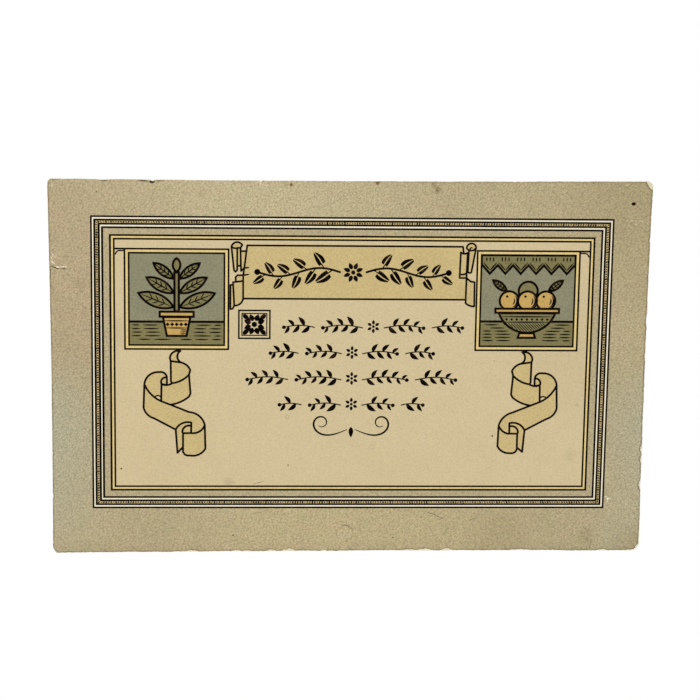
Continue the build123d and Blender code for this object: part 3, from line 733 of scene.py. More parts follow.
# %% Fraying
WANDER = 0.12 * MM
WANDER_SIZE = 4.5 * MM
WANDER_SEED = 0.5
FRAY = 0.13 * MM
FRAY_SIZE = 0.4 * MM
RIGHT_FRAY = 1.7
LEFT_FRAY = 0.5
BOTTOM_FRAY = 1.7
SPLAY = 0.28 * MM
EDGE_DROP = 0.07 * MM
FLAKE_RAG = (0.2, 1.8)
FLAKE_SEED = 9.0


def ripple(point, size, seed):
    """Smooth noise from 0 to 1 over the card."""
    return 0.5 + 0.5 * noise.noise(Vector((point[0] / size, point[1] / size, seed)))


def between(limits, share):
    """A number at a share of the way between two limits."""
    return limits[0] + (limits[1] - limits[0]) * share


def depth_inside(point):
    """How far inside the card's rectangle a point lies."""
    return min(half_width - abs(point[0]), half_height - abs(point[1]))


def frayed(point, seed):
    """A point of the edge after years of handling."""
    depth = WANDER * ripple(point, WANDER_SIZE, WANDER_SEED) + FRAY * ripple(point, FRAY_SIZE, seed)
    if point[0] > half_width - MM:
        depth *= RIGHT_FRAY
    if point[0] < MM - half_width:
        depth *= LEFT_FRAY
    if point[1] < MM - half_height:
        depth *= BOTTOM_FRAY
    outwards = min(abs(point[0]) / half_width, abs(point[1]) / half_height, 1.0)
    x, y = inset(point, depth - SPLAY * outwards**2 + bitten(point, nicks))
    return x, y - EDGE_DROP


def flaked(point):
    """A point of the face paper's edge, moved in where the paper has flaked off the core."""
    rag = between(FLAKE_RAG, ripple(point, FRAY_SIZE, FLAKE_SEED))
    return inset(point, bitten(point, flakes) * rag + depth_inside(point))


# %% A lost corner
def lost_corner(points, side, end, along, down, bite, rag):
    """Cuts a corner off a line of points: along and down the edges, and biting in between."""
    corner = Vector((side * half_width, end * half_height))
    first = corner - Vector((side * along * MM, 0))
    last = corner - Vector((0, end * down * MM))
    inwards = -Vector((side, end)).normalized()
    cut = []
    for x, y in points:
        across = side * (corner.x - x) / (along * MM)
        upright = end * (corner.y - y) / (down * MM)
        if across + upright < 1:
            share = (across - upright + 1) / 2
            spot = last.lerp(first, share) + inwards * bite * MM * 4 * share * (1 - share)
            spot += inwards * rag * MM * noise.noise(Vector((x, y, 0)) / FRAY_SIZE)
            x, y = spot
        cut.append((x, y))
    return cut


# %% Where a point of the board ends up
TEAR_END = (-65.9 * MM, 23.9 * MM)
TEAR_BEND = 0.105 / MM
TEAR_RAG = 0.16 * MM
TEAR_RAG_SIZE = 0.8 * MM
TEAR_SEED = 3
TEAR_OPENING = 0.6
TEAR_LIP = 0.18 * MM
LIP_REACH = 1.3 * MM
LIP_DROP = 0.14 * MM
SQUEEZE = 0.30
SQUEEZE_REACH = 0.7 * MM


def lip_height(x, y):
    """How far the face paper stands up: most along the tear's ragged line, near the card's edge."""
    back = TEAR_END[0] - x
    if back <= 0:
        return 0.0
    openness = min(1.0, back / (TEAR_END[0] - TEAR_MOUTH[0])) ** TEAR_OPENING
    line = TEAR_END[1] + TEAR_BEND * back**2
    over = y - line - TEAR_RAG * noise.noise(Vector((x / TEAR_RAG_SIZE, 0, TEAR_SEED)))
    slope = 1 - over / LIP_REACH if over >= 0 else 1 + over / LIP_DROP
    return TEAR_LIP * openness * max(0.0, slope) ** 2


def settled(x, y, z, torn):
    """A point of the flat board, squeezed at the edge and, in the torn layers, lifted at the tear."""
    z *= 1 - SQUEEZE * max(0.0, 1 - depth_inside((x, y)) / SQUEEZE_REACH) ** 2
    return x, y, z + lip_height(x, y) * torn


# %% Build a layer from rings
WELD = 0.0001 * MM


def stitched(rings, hollow):
    """Faces of a closed sheet through two levels of rings, by number, bottom level first."""
    count = len(rings[0])
    last = len(rings) - 1

    def at(level, ring, place):
        return (level * len(rings) + ring) * count + place % count

    def wall(ring, place):
        return [at(0, ring, place), at(0, ring, place + 1), at(1, ring, place + 1), at(1, ring, place)]

    faces = []
    for place in range(count):
        for ring in range(last):
            strip = [(ring, place), (ring, place + 1), (ring + 1, place + 1), (ring + 1, place)]
            faces.append([at(0, *corner) for corner in reversed(strip)])
            faces.append([at(1, *corner) for corner in strip])
        faces.append(wall(0, place))
        if hollow:
            faces.append(wall(last, place)[::-1])
    if not hollow:
        faces.append([at(0, last, place) for place in reversed(range(count))])
        faces.append([at(1, last, place) for place in range(count)])
    return faces


def layer_mesh(name, rings, bottom, top, torn, hollow=False):
    """A thin closed sheet; each point keeps its distance from the edge as a number called edge."""
    places = [settled(x, y, z, torn) for z in (bottom, top) for ring in rings for x, y in ring]
    depths = [math.dist(point, rim) for ring in rings for point, rim in zip(ring, rings[0])]
    mesh = bpy.data.meshes.new(name)
    mesh.from_pydata(places, [], stitched(rings, hollow))
    store = mesh.attributes.new("edge", "FLOAT", "POINT")
    store.data.foreach_set("value", depths * 2)
    shape = bmesh.new()
    shape.from_mesh(mesh)
    bmesh.ops.remove_doubles(shape, verts=shape.verts, dist=WELD)
    shape.to_mesh(mesh)
    shape.free()
    return mesh


# %% Turn a mesh into a piece
def place_piece(name, mesh, finish, stands_for=None):
    """A finished mesh as a piece that rides on the card and wears a finish."""
    mesh.materials.clear()
    mesh.materials.append(finishes[finish])
    piece = bpy.data.objects.new(name, mesh)
    bpy.context.collection.objects.link(piece)
    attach(piece, "root")
    if stands_for:
        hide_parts(stands_for)
    print(f"{name}: {len(mesh.vertices)} points, {len(mesh.polygons)} faces")


# %% The papers and the core
PLAIN_RINGS = [step * MM for step in (0.35, 0.7, 1.2)]
TORN_RINGS = [step * MM for step in (0.3, 0.7, 1.1, 1.5, 1.9, 2.3, 2.7, 3.1, 3.5, 4.2)]
FRAY_SEEDS = {"back_paper": 4.0, "core_board": 3.0, "face_paper": 2.0}
LOST_FACE_CORNER = {"side": 1, "end": 1, "along": 1.35, "down": 1.95, "bite": 0.28, "rag": 0.12}


def ringed(edge, steps):
    """The edge line and its copies at each step inwards."""
    return [edge] + [[inset(point, step) for point in edge] for step in steps]


def board_layer(node, finish, edge, steps, torn):
    """One sheet of the card, as thick as its node."""
    low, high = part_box(node)
    mesh = layer_mesh("worn_" + node, ringed(edge, steps), low.z, high.z, torn)
    place_piece("worn_" + node, mesh, finish, node)


edges = {node: [frayed(point, seed) for point in edge_line] for node, seed in FRAY_SEEDS.items()}
face_edge = lost_corner([flaked(point) for point in edges["face_paper"]], **LOST_FACE_CORNER)
board_layer("back_paper", "back_stock", edges["back_paper"], PLAIN_RINGS, 0)
board_layer("core_board", "core_stock", edges["core_board"], PLAIN_RINGS, 0)
board_layer("face_paper", "face_stock", face_edge, TORN_RINGS, 1)

# %% [markdown]
# ### The border's ink film
#
# The olive tint ran off the card's edge when it was printed, and handling has rubbed it back from
# there, most along the bottom and at the corners, so a thin line of pale paper shows. The film is
# one more layer, with a hollow middle that ends under the outermost rule of the printed frame.

# %% The rubbed border tint
PRINT_TURN = math.radians(-0.18)
RULE = 0.42 * MM
RUB = 0.07 * MM
RUB_SIZE = 0.9 * MM
RUB_SEED = 7.0
BOTTOM_RUB = 2.2
RUBBED_PLACES = (
    (69.4, -43.6, 3.4, 0.20),
    (69.6, -40.5, 2.6, 0.08),
    (-69.4, 44.2, 1.6, 0.14),
    (-69.4, -44.2, 1.6, 0.12),
)


def print_half(node):
    """Half the width and height of a ring of the print, which lies a little turned on the card."""
    low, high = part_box(node)
    half = (high - low).xy / 2
    return half - Vector((half.y, half.x)) * abs(math.sin(PRINT_TURN))


low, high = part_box("frame_rule_1")
print_middle = ((low + high) / 2).xy
tint_hole = print_half("frame_rule_1") - Vector((RULE, RULE)) / 2
turned = Matrix.Rotation(PRINT_TURN, 2)


def under_rule(point):
    """The nearest place under the middle of the outermost rule."""
    spot = turned.inverted() @ (Vector(point) - print_middle)
    spot.x = min(max(spot.x, -tint_hole.x), tint_hole.x)
    spot.y = min(max(spot.y, -tint_hole.y), tint_hole.y)
    return tuple(turned @ spot + print_middle)


def rubbed(point):
    """A point of the paper's edge, moved in to where the ink still holds."""
    depth = RUB * ripple(point, RUB_SIZE, RUB_SEED)
    if point[1] < MM - half_height:
        depth *= BOTTOM_RUB
    return inset(point, depth + bitten(point, RUBBED_PLACES) + depth_inside(point))


tint_edge = [rubbed(point) for point in face_edge]
tint_rings = ringed(tint_edge, TORN_RINGS)
tint_rings.append([under_rule(point) for point in tint_edge])
low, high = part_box("border_tint")
ink_thickness = high.z - low.z
tint_mesh = layer_mesh("rubbed_border_tint", tint_rings, low.z, high.z, 1, hollow=True)
place_piece("rubbed_border_tint", tint_mesh, "border_ink", "border_tint")

# %% [markdown]
# ## Small flat shapes
#
# Every mark on the print is a film of ink, so a few helpers serve them all. One closes an outline
# into a thin solid. Another draws a pen stroke, which swells where the hand presses and thins
# where it lifts, as a line of points with a width at each. Leaves and dots are outlines that are
# used over and over, with few points because they are only a millimetre or two long.


# %% Films
def film(shape, outline, level=0.0):
    """Closes an anticlockwise outline into a thin solid of ink on a level."""
    lower = [shape.verts.new((x, y, level)) for x, y in outline]
    upper = [shape.verts.new((x, y, level + ink_thickness)) for x, y in outline]
    shape.faces.new(lower[::-1])
    shape.faces.new(upper)
    for place in range(len(outline)):
        after = (place + 1) % len(outline)
        shape.faces.new([lower[place], lower[after], upper[after], upper[place]])


def shape_mesh(name, shape):
    """Turns a finished bmesh into a mesh with its faces outwards."""
    mesh = bpy.data.meshes.new(name)
    bmesh.ops.recalc_face_normals(shape, faces=shape.faces)
    shape.to_mesh(mesh)
    shape.free()
    return mesh


# %% Pen strokes
def pen_stroke(shape, line, widths, level=0.0):
    """A closed flat stroke along a line, as wide at each point as widths says."""
    rows = []
    for place, (x, y) in enumerate(line):
        before = Vector(line[max(place - 1, 0)])
        after = Vector(line[min(place + 1, len(line) - 1)])
        ahead = (after - before).normalized() * widths[place] / 2
        left = (x - ahead.y, y + ahead.x)
        right = (x + ahead.y, y - ahead.x)
        top = level + ink_thickness
        corners = ((*right, level), (*left, level), (*left, top), (*right, top))
        rows.append([shape.verts.new(corner) for corner in corners])
    for first, second in zip(rows, rows[1:]):
        for k in range(4):
            shape.faces.new([first[k], first[(k + 1) % 4], second[(k + 1) % 4], second[k]])
    shape.faces.new(rows[0])
    shape.faces.new(rows[-1][::-1])


def tapered(count, pen, thin=0.35):
    """Widths of a stroke that starts and ends thin."""
    return [pen * (thin + (1 - thin) * math.sin(math.pi * k / (count - 1))) for k in range(count)]


# %% Outlines
def box_outline(width, height, x=0.0, y=0.0):
    """The outline of a rectangle about a middle."""
    return [(x + side * width / 2, y + end * height / 2) for side, end in QUARTERS]


def carried(outline, x, y, angle):
    """An outline turned by an angle and carried to a place."""
    cos, sin = math.cos(angle), math.sin(angle)
    return [(x + cos * px - sin * py, y + sin * px + cos * py) for px, py in outline]


# %% Leaves
LEAF_STEPS = 9
LEAF_FULLEST = 0.8
LEAF_ROUNDNESS = 0.9
STALK = 0.3
BLADE = slice(2, -1)


def leaf_side(length, width, bend, side):
    """One edge of a leaf from stalk to tip, fullest a little before its middle."""
    edge = []
    for step in range(LEAF_STEPS + 1):
        share = step / LEAF_STEPS
        spine = bend * math.sin(math.pi * share)
        swell = width / 2 * math.sin(math.pi * share**LEAF_FULLEST) ** LEAF_ROUNDNESS
        edge.append((length * share, spine + side * swell))
    return edge


def leaf_outline(length, width, bend=0.0):
    """A whole leaf along X, anticlockwise from its stalk."""
    return leaf_side(length, width, bend, -1) + leaf_side(length, width, bend, 1)[-2:0:-1]


def whole_leaf(length, width, bend):
    """A solid leaf as a mesh."""
    shape = bmesh.new()
    film(shape, leaf_outline(length, width, bend))
    return shape_mesh("whole_leaf", shape)


def parted_leaf(length, width, bend, rib):
    """A stalked leaf of two blades with a bare midrib between them, as a mesh."""
    shape = bmesh.new()
    film(shape, box_outline(length * STALK, rib, length * STALK / 2))
    for side in (-1, 1):
        edge = leaf_side(length, width, bend, side)[BLADE]
        spine = leaf_side(length, rib, bend, side)[BLADE]
        outline = edge + spine[::-1]
        film(shape, outline if side < 0 else outline[::-1])
    return shape_mesh("parted_leaf", shape)


# %% Arcs and dots
def arc(x, y, radius, first, last, steps):
    """Points on part of a circle, between two angles in degrees."""
    angles = [math.radians(first + (last - first) * k / steps) for k in range(steps + 1)]
    return [(x + radius * math.cos(angle), y + radius * math.sin(angle)) for angle in angles]


def disc(radius, x=0.0, y=0.0, sides=12):
    """The outline of a round dot."""
    return arc(x, y, radius, 0, 360, sides)[:-1]


def berry(radius):
    """A round dot as a mesh."""
    shape = bmesh.new()
    film(shape, disc(radius))
    return shape_mesh("berry", shape)


# %% [markdown]
# ## Ornaments that repeat
#
# The print has hundreds of small marks: cross strokes in the frame's hatched band, and leaves along
# stems. Geometry Nodes suit them, since one tree with named sizes lays any number along a path.
# Each tree works in the print's own flat coordinates. The result is kept as a plain mesh, then
# turned and lifted to where the print lies on the card.


# %% Begin and end a node tree
def new_tree(name, **inputs):
    """A Geometry Nodes tree with a geometry input, named inputs, and a geometry output."""
    tree = bpy.data.node_groups.new(name, "GeometryNodeTree")
    tree.interface.new_socket("Geometry", in_out="INPUT", socket_type="NodeSocketGeometry")
    for label, kind in inputs.items():
        tree.interface.new_socket(label, in_out="INPUT", socket_type="NodeSocket" + kind)
    tree.interface.new_socket("Geometry", in_out="OUTPUT", socket_type="NodeSocketGeometry")
    return tree, tree.nodes.new("NodeGroupInput").outputs


def end_tree(tree, parts, material):
    """Closes a tree: the parts joined as real geometry instead of instances, with a finish."""
    whole = wire(tree, "GeometryNodeJoinGeometry")
    for part in parts:
        tree.links.new(outlet(part), whole.inputs["Geometry"])
    real = wire(tree, "GeometryNodeRealizeInstances", {"Geometry": whole})
    dressed = wire(tree, "GeometryNodeSetMaterial", {"Geometry": real, "Material": material})
    wire(tree, "NodeGroupOutput", {"Geometry": dressed})


# %% Steps, turns and chances in a tree
def paces(tree, path, pitch):
    """Points along a path at a steady pitch."""
    return wire(tree, "GeometryNodeCurveToPoints", {"Curve": path, "Length": pitch}, mode="LENGTH")


def facing(tree, steps, angle):
    """A turn along the path at each of its points, swung by an angle."""
    ahead = {"Vector": steps.outputs["Tangent"]}
    ahead = wire(tree, "FunctionNodeAlignRotationToVector", ahead, axis="X", pivot_axis="Z")
    swing = wire(tree, "FunctionNodeAxisAngleToRotation", {"Axis": (0, 0, 1), "Angle": angle})
    turn = {"Rotation": ahead, "Rotate By": swing}
    return wire(tree, "FunctionNodeRotateRotation", turn, rotation_space="LOCAL")


def chance(tree, low, high, seed, kind="FLOAT"):
    """A seeded random value between two others, a new one at each point."""
    limits = {"Min": low, "Max": high, "Seed": seed}
    return wire(tree, "FunctionNodeRandomValue", limits, data_type=kind)


def handed_in(tree, source):
    """The geometry of an object that is an input of the tree."""
    return wire(tree, "GeometryNodeObjectInfo", {"Object": source}).outputs["Geometry"]


def stored(tree, label):
    """A number that was stored on the path under a name."""
    return wire(tree, "GeometryNodeInputNamedAttribute", {"Name": label}, data_type="FLOAT")


# %% Run a tree
def pattern_object(mesh):
    """A mesh as an object that a tree can lay along a path."""
    pattern = bpy.data.objects.new("pattern", mesh)
    bpy.context.collection.objects.link(pattern)
    return pattern


def grow(name, seed_mesh, tree, **values):
    """Runs a tree on a mesh, with its inputs set, and returns the result as a plain mesh."""
    holder = bpy.data.objects.new(name, seed_mesh)
    bpy.context.collection.objects.link(holder)
    modifier = holder.modifiers.new("grow", "NODES")
    modifier.node_group = tree
    for item in tree.interface.items_tree:
        if item.in_out == "INPUT" and item.name in values:
            modifier[item.identifier] = values[item.name]
    graph = bpy.context.evaluated_depsgraph_get()
    mesh = bpy.data.meshes.new_from_object(holder.evaluated_get(graph))
    holder.modifiers.remove(modifier)
    bpy.data.objects.remove(holder)
    for value in values.values():
        if isinstance(value, bpy.types.Object):
            bpy.data.objects.remove(value)
    shape = bmesh.new()
    shape.from_mesh(mesh)
    bmesh.ops.recalc_face_normals(shape, faces=shape.faces)
    shape.to_mesh(mesh)
    shape.free()
    return mesh


# %% Shapes in the print's own coordinates
def on_print(mesh, level=0.0):
    """Carries a mesh from the print's own coordinates to the card, at a height."""
    lift = Matrix.Translation((*print_middle, level))
    mesh.transform(lift @ Matrix.Rotation(PRINT_TURN, 4, "Z"))
    return mesh


def print_piece(name, shape, finish="black_ink"):
    """A bmesh in the print's own coordinates, as a piece on the card."""
    place_piece(name, on_print(shape_mesh(name, shape)), finish)


def lines_mesh(lines, closed=False):
    """Several lines as one mesh of edges."""
    places = []
    edges = []
    for line in lines:
        start = len(places)
        places += [(x, y, 0.0) for x, y in line]
        edges += [(start + step, start + step + 1) for step in range(len(line) - 1)]
        if closed:
            edges.append((len(places) - 1, start))
    mesh = bpy.data.meshes.new("lines")
    mesh.from_pydata(places, edges, [])
    return mesh


# %% [markdown]
# ### Marks strewn along a path
#
# Between the second and the third rule runs a band of short strokes square to the frame, cut by
# hand and so never quite even. The tree walks a path at a steady pitch and sets one mark at each
# step, turned with the path, then swung and sized by seeded random values.


# %% The strewing tree
def strewing_tree():
    """A mark at each step of a path, with a chance swing and size."""
    tree, given = new_tree(
        "strewn_marks",
        Mark="Object",
        Pitch="Float",
        Swing="Float",
        Small="Vector",
        Large="Vector",
        Material="Material",
        Seed="Int",
    )
    path = wire(tree, "GeometryNodeMeshToCurve", {"Mesh": given["Geometry"]})
    steps = paces(tree, path, given["Pitch"])
    back = reckon(tree, "MULTIPLY", given["Swing"], -1.0)
    swing = chance(tree, back, given["Swing"], given["Seed"])
    next_seed = reckon(tree, "ADD", given["Seed"], 1.0)
    size = chance(tree, given["Small"], given["Large"], next_seed, "FLOAT_VECTOR")
    marks = {
        "Points": steps,
        "Instance": handed_in(tree, given["Mark"]),
        "Rotation": facing(tree, steps, swing),
        "Scale": size,
    }
    end_tree(tree, [wire(tree, "GeometryNodeInstanceOnPoints", marks)], given["Material"])
    return tree


strewing = strewing_tree()
print("strewing tree:", len(strewing.nodes), "nodes")

# %% Hatch strokes
HATCH_BAND = 0.92 * MM
HATCH_PITCH = 0.58 * MM
HATCH_STROKE = (0.25 * MM, 0.50 * MM)
HATCH_SWING = 0.22
HATCH_SMALL = (0.60, 0.60, 1.0)
HATCH_LARGE = (1.60, 1.0, 1.0)


def hatch_mark():
    """One short stroke as a mesh."""
    shape = bmesh.new()
    film(shape, box_outline(*HATCH_STROKE))
    return shape_mesh("hatch_mark", shape)


band_middle = print_half("hatched_band") - Vector((1, 1)) * (HATCH_BAND + RULE) / 2
band_path = box_outline(2 * band_middle.x, 2 * band_middle.y)
hatch_mesh = grow(
    "hatch_strokes",
    lines_mesh([band_path], closed=True),
    strewing,
    Mark=pattern_object(hatch_mark()),
    Pitch=HATCH_PITCH,
    Swing=HATCH_SWING,
    Small=HATCH_SMALL,
    Large=HATCH_LARGE,
    Material=finishes["black_ink"],
    Seed=3,
)
place_piece("hatch_strokes", on_print(hatch_mesh, top_of("hatched_band")), "black_ink")

# %% [markdown]
# ### Ink squeezed out beside the rules
#
# The press bit hardest at the left, so the middle rules of the frame print heavier there. A bead of
# squeezed ink is a ring between the edge of a rule and the same rectangle pushed away from it, by a
# different share of the bead on each side. Four narrow films, mitred at the corners, make a ring.

# %% Squeezed ink
# each rule, the way its bead spreads, out or in, the bead's width in millimetres and what it lies on
PRESS_BITE = (1.15, 0.4, 0.6, 0.3)
BEADS = (
    ("frame_rule_2", 1, 0.06, "face_paper"),
    ("frame_rule_3", -1, 0.08, "face_paper"),
    ("frame_rule_4", 1, 0.07, "face_paper"),
    ("frame_rule_5", 1, 0.05, "grey_band"),
)


def rectangle(half, grown=(0, 0, 0, 0)):
    """Corners of a rectangle whose left, bottom, right and top sides are pushed out."""
    left, bottom, right, top = grown
    low = (-half.x - left, -half.y - bottom)
    high = (half.x + right, half.y + top)
    return [low, (high[0], low[1]), high, (low[0], high[1])]


shape = bmesh.new()
for node, way, bead, ground in BEADS:
    half = print_half(node)
    if way < 0:
        half -= Vector((RULE, RULE))
    near = rectangle(half)
    far = rectangle(half, [way * bead * MM * share for share in PRESS_BITE])
    for place in range(4):
        after = (place + 1) % 4
        strip = [far[place], far[after], near[after], near[place]]
        film(shape, strip[::way], top_of(ground))
print_piece("squeezed_ink", shape)

# %% [markdown]
# ### Stems with leaves
#
# One tree serves every sprig on the card. It takes lines as its path, gives them a flat stem, sets
# leaves along them by turns to the left and the right, smaller towards the tip, and ends each
# line in a berry. A line that grows to the left has its sides exchanged, so the two halves of an
# ornament mirror each other. The leaf and the berry are handed in as objects, so the vine in the
# banner and the sprigs on the panel differ only in their inputs.


# %% Leaves along a stem
LEAF_CHANCE = (0.90, 1.10)
LEAFY_MIDDLE = 0.49
LEAFY_HALF = 0.46


def leaf_sides(tree, given, steps):
    """Which side of the path the leaf at each step grows on, as one or minus one."""
    count = reckon(tree, "FLOOR", reckon(tree, "DIVIDE", stored(tree, "whole"), given["Pitch"]))
    count = reckon(tree, "ROUND", reckon(tree, "MULTIPLY", stored(tree, "along"), count))
    odd = reckon(tree, "FLOORED_MODULO", count, 2.0)
    side = reckon(tree, "SUBTRACT", 1.0, reckon(tree, "MULTIPLY", odd, 2.0))
    ahead = wire(tree, "ShaderNodeSeparateXYZ", {"Vector": steps.outputs["Tangent"]})
    return reckon(tree, "MULTIPLY", side, reckon(tree, "SIGN", ahead.outputs["X"]))


def leaves_along(tree, given, path):
    """A leaf at each step but the first and the last, leaning to its side and smaller outwards."""
    steps = paces(tree, path, given["Pitch"])
    side = leaf_sides(tree, given, steps)
    along = stored(tree, "along")
    size = {"Value": along, "To Min": 1.0, "To Max": given["Tip"]}
    size = wire(tree, "ShaderNodeMapRange", size)
    size = reckon(tree, "MULTIPLY", size, chance(tree, *LEAF_CHANCE, given["Seed"]))
    mirrored = {"X": size, "Y": reckon(tree, "MULTIPLY", size, side), "Z": 1.0}
    leafy = {0: along, 1: LEAFY_MIDDLE, 2: LEAFY_HALF}
    leaves = {
        "Points": steps,
        "Selection": wire(tree, "ShaderNodeMath", leafy, operation="COMPARE"),
        "Instance": handed_in(tree, given["Leaf"]),
        "Rotation": facing(tree, steps, reckon(tree, "MULTIPLY", side, given["Angle"])),
        "Scale": wire(tree, "ShaderNodeCombineXYZ", mirrored),
    }
    return wire(tree, "GeometryNodeInstanceOnPoints", leaves)


# %% Flat stems and berries
def flat_stem(tree, given, path):
    """A thin flat strip of ink along the path."""
    level = wire(tree, "GeometryNodeSetCurveNormal", {"Curve": path}, mode="Z_UP")
    section = {"Width": given["Stem"], "Height": given["Ink"]}
    section = wire(tree, "GeometryNodeCurvePrimitiveQuadrilateral", section)
    stem = {"Curve": level, "Profile Curve": section, "Fill Caps": True}
    stem = wire(tree, "GeometryNodeCurveToMesh", stem)
    raised = wire(tree, "ShaderNodeCombineXYZ", {"Z": reckon(tree, "MULTIPLY", given["Ink"], 0.5)})
    return wire(tree, "GeometryNodeTransform", {"Geometry": stem, "Translation": raised})


def berries_at_ends(tree, given, path):
    """A berry where each line ends."""
    ends = wire(tree, "GeometryNodeCurveEndpointSelection", {"Start Size": 0, "End Size": 1})
    berries = {"Points": path, "Selection": ends, "Instance": handed_in(tree, given["Berry"])}
    return wire(tree, "GeometryNodeInstanceOnPoints", berries)


# %% The sprig tree
def sprig_tree():
    """A stem, leaves and berries along every line."""
    tree, given = new_tree(
        "sprig",
        Leaf="Object",
        Berry="Object",
        Pitch="Float",
        Angle="Float",
        Tip="Float",
        Stem="Float",
        Ink="Float",
        Material="Material",
        Seed="Int",
    )
    path = wire(tree, "GeometryNodeMeshToCurve", {"Mesh": given["Geometry"]})
    along = wire(tree, "GeometryNodeSplineParameter").outputs["Factor"]
    whole = wire(tree, "GeometryNodeSplineLength").outputs["Length"]
    for label, value in (("along", along), ("whole", whole)):
        kept = {"Geometry": path, "Name": label, "Value": value}
        path = wire(tree, "GeometryNodeStoreNamedAttribute", kept, data_type="FLOAT", domain="POINT")
    parts = [grown(tree, given, path) for grown in (flat_stem, leaves_along, berries_at_ends)]
    end_tree(tree, parts, given["Material"])
    return tree


foliage = sprig_tree()
print("sprig tree:", len(foliage.nodes), "nodes")


# %% Lay foliage on the print
def foliage_piece(name, lines, level, leaf, fruit, **values):
    """Leaves and berries along lines, laid on the print at a height."""
    values.update(Leaf=pattern_object(leaf), Berry=pattern_object(fruit))
    values.update(Ink=ink_thickness, Material=finishes["black_ink"])
    mesh = grow(name, lines_mesh(lines), foliage, **values)
    place_piece(name, on_print(mesh, level), "black_ink")


# %% [markdown]
# ### Vine in the banner
#
# The banner carries one running garland, the commonest ornament for a long narrow field: a stem
# that waves a little from end to end, with broad leaves on either side. It is drawn from the
# middle outwards, so that both halves grow away from the centre and end in a berry.

# %% Banner vine
BANNER_LEVEL = top_of("banner_tint")
VINE_HEIGHT = 21.9 * MM
VINE_START = 2.9 * MM
VINE_END = 22.3 * MM
VINE_WAVE = 19.4 * MM
VINE_SWING = 1.0 * MM
VINE_POINTS = 90
VINE_LEAF = {"length": 5.0 * MM, "width": 2.1 * MM, "bend": 0.30 * MM, "rib": 0.28 * MM}
VINE_BERRY = 0.72 * MM


def vine_half(side):
    """The waving stem on one side of the banner's middle."""
    line = []
    for step in range(VINE_POINTS + 1):
        x = VINE_START + (VINE_END - VINE_START) * step / VINE_POINTS
        wave = math.sin(math.tau * (x - VINE_START) / VINE_WAVE)
        line.append((side * x, VINE_HEIGHT + VINE_SWING * wave))
    return line


foliage_piece(
    "banner_vine",
    [vine_half(-1), vine_half(1)],
    BANNER_LEVEL,
    parted_leaf(**VINE_LEAF),
    berry(VINE_BERRY),
    Pitch=1.85 * MM,
    Angle=math.radians(50),
    Tip=0.74,
    Stem=0.50 * MM,
    Seed=5,
)

# %% [markdown]
# ### Sprigs on the panel
#
# Below the banner the panel holds four rows of small sprigs, each row even about a little flower.
# A sprig is a gently arched stem with leaves. The rows are listed by their height, their middle
# and the lengths of the sprigs that grow outwards from the flower.

# %% Sprig rows
PANEL_LEVEL = top_of("panel_tint")
SPRIG_ROWS = (
    (9.1, 4.9, (9.4, 7.2)),
    (2.9, 0.0, (8.2, 6.6)),
    (-3.3, 0.0, (10.6, 9.6)),
    (-9.5, 0.0, (7.4, 5.2)),
)
SPRIG_GAP = 1.9 * MM
SPRIG_START = 2.4 * MM
SPRIG_ARCH = 0.07
SPRIG_POINTS = 16
SPRIG_LEAF = {"length": 2.75 * MM, "width": 1.08 * MM, "bend": 0.22 * MM}
SPRIG_BERRY = 0.46 * MM


def sprig(x, y, length, side):
    """An arched stem of a length that grows to one side."""
    line = []
    for step in range(SPRIG_POINTS + 1):
        share = step / SPRIG_POINTS
        rise = SPRIG_ARCH * length * (math.sin(math.pi * share) - 0.5)
        line.append((x + side * length * share, y + rise))
    return line


def sprig_lines():
    """All the stems of the four rows."""
    lines = []
    for height, middle, lengths in SPRIG_ROWS:
        for side in (-1, 1):
            start = SPRIG_START
            for length in lengths:
                lines.append(sprig(middle * MM + side * start, height * MM, length * MM, side))
                start += length * MM + SPRIG_GAP
    return lines


foliage_piece(
    "panel_sprigs",
    sprig_lines(),
    PANEL_LEVEL,
    whole_leaf(**SPRIG_LEAF),
    berry(SPRIG_BERRY),
    Pitch=1.1 * MM,
    Angle=math.radians(48),
    Tip=0.62,
    Stem=0.27 * MM,
    Seed=8,
)

# %% [markdown]
# ### Flowers, tile and flourish
#
# A flower is a ring of petals round an eye. The same function draws the small flowers between the
# sprigs, the one in the middle of the vine and the large one in the square tile at the start of
# the first row. The flourish under the rows is two pen strokes that leave the middle and curl
# ever tighter, a shape that comes from one formula: the heading turns with a power of the way gone.


# %% Flowers
def flower(shape, x, y, petals, hub, length, width, eye, level):
    """Petals round an eye."""
    petal = [(hub + px, py) for px, py in leaf_outline(length, width)]
    for place in range(petals):
        film(shape, carried(petal, x, y, math.tau * (place + 0.5) / petals), level)
    film(shape, disc(eye, x, y), level)


VINE_FLOWER = {"petals": 8, "hub": 0.75 * MM, "length": 1.7 * MM, "width": 1.0 * MM, "eye": 0.52 * MM}
ROW_FLOWER = {"petals": 6, "hub": 0.5 * MM, "length": 1.1 * MM, "width": 0.7 * MM, "eye": 0.34 * MM}

shape = bmesh.new()
flower(shape, 0, VINE_HEIGHT, level=BANNER_LEVEL, **VINE_FLOWER)
for height, middle, _ in SPRIG_ROWS:
    flower(shape, middle * MM, height * MM, level=PANEL_LEVEL, **ROW_FLOWER)
print_piece("row_flowers", shape)

# %% Tile
TILE_MIDDLE = (-22.9 * MM, 9.5 * MM)
TILE_SIZE = (7.6 * MM, 7.0 * MM)
TILE_LINE = 0.38 * MM
TILE_INNER_LINE = 0.7 * TILE_LINE
TILE_GAP = 0.40 * MM
TILE_FLOWER = {"petals": 8, "hub": 0.85 * MM, "length": 1.75 * MM, "width": 1.25 * MM, "eye": 0.66 * MM}
TILE_LEAF = (2.1 * MM, 1.1 * MM)
TILE_LEAF_TIP = 0.35 * MM


def ruled_box(shape, x, y, width, height, line, level):
    """Four bars that meet at the corners without lying on each other."""
    for side in (-1, 1):
        film(shape, box_outline(width, line, x, y + side * (height - line) / 2), level)
        film(shape, box_outline(line, height - 2 * line, x + side * (width - line) / 2, y), level)


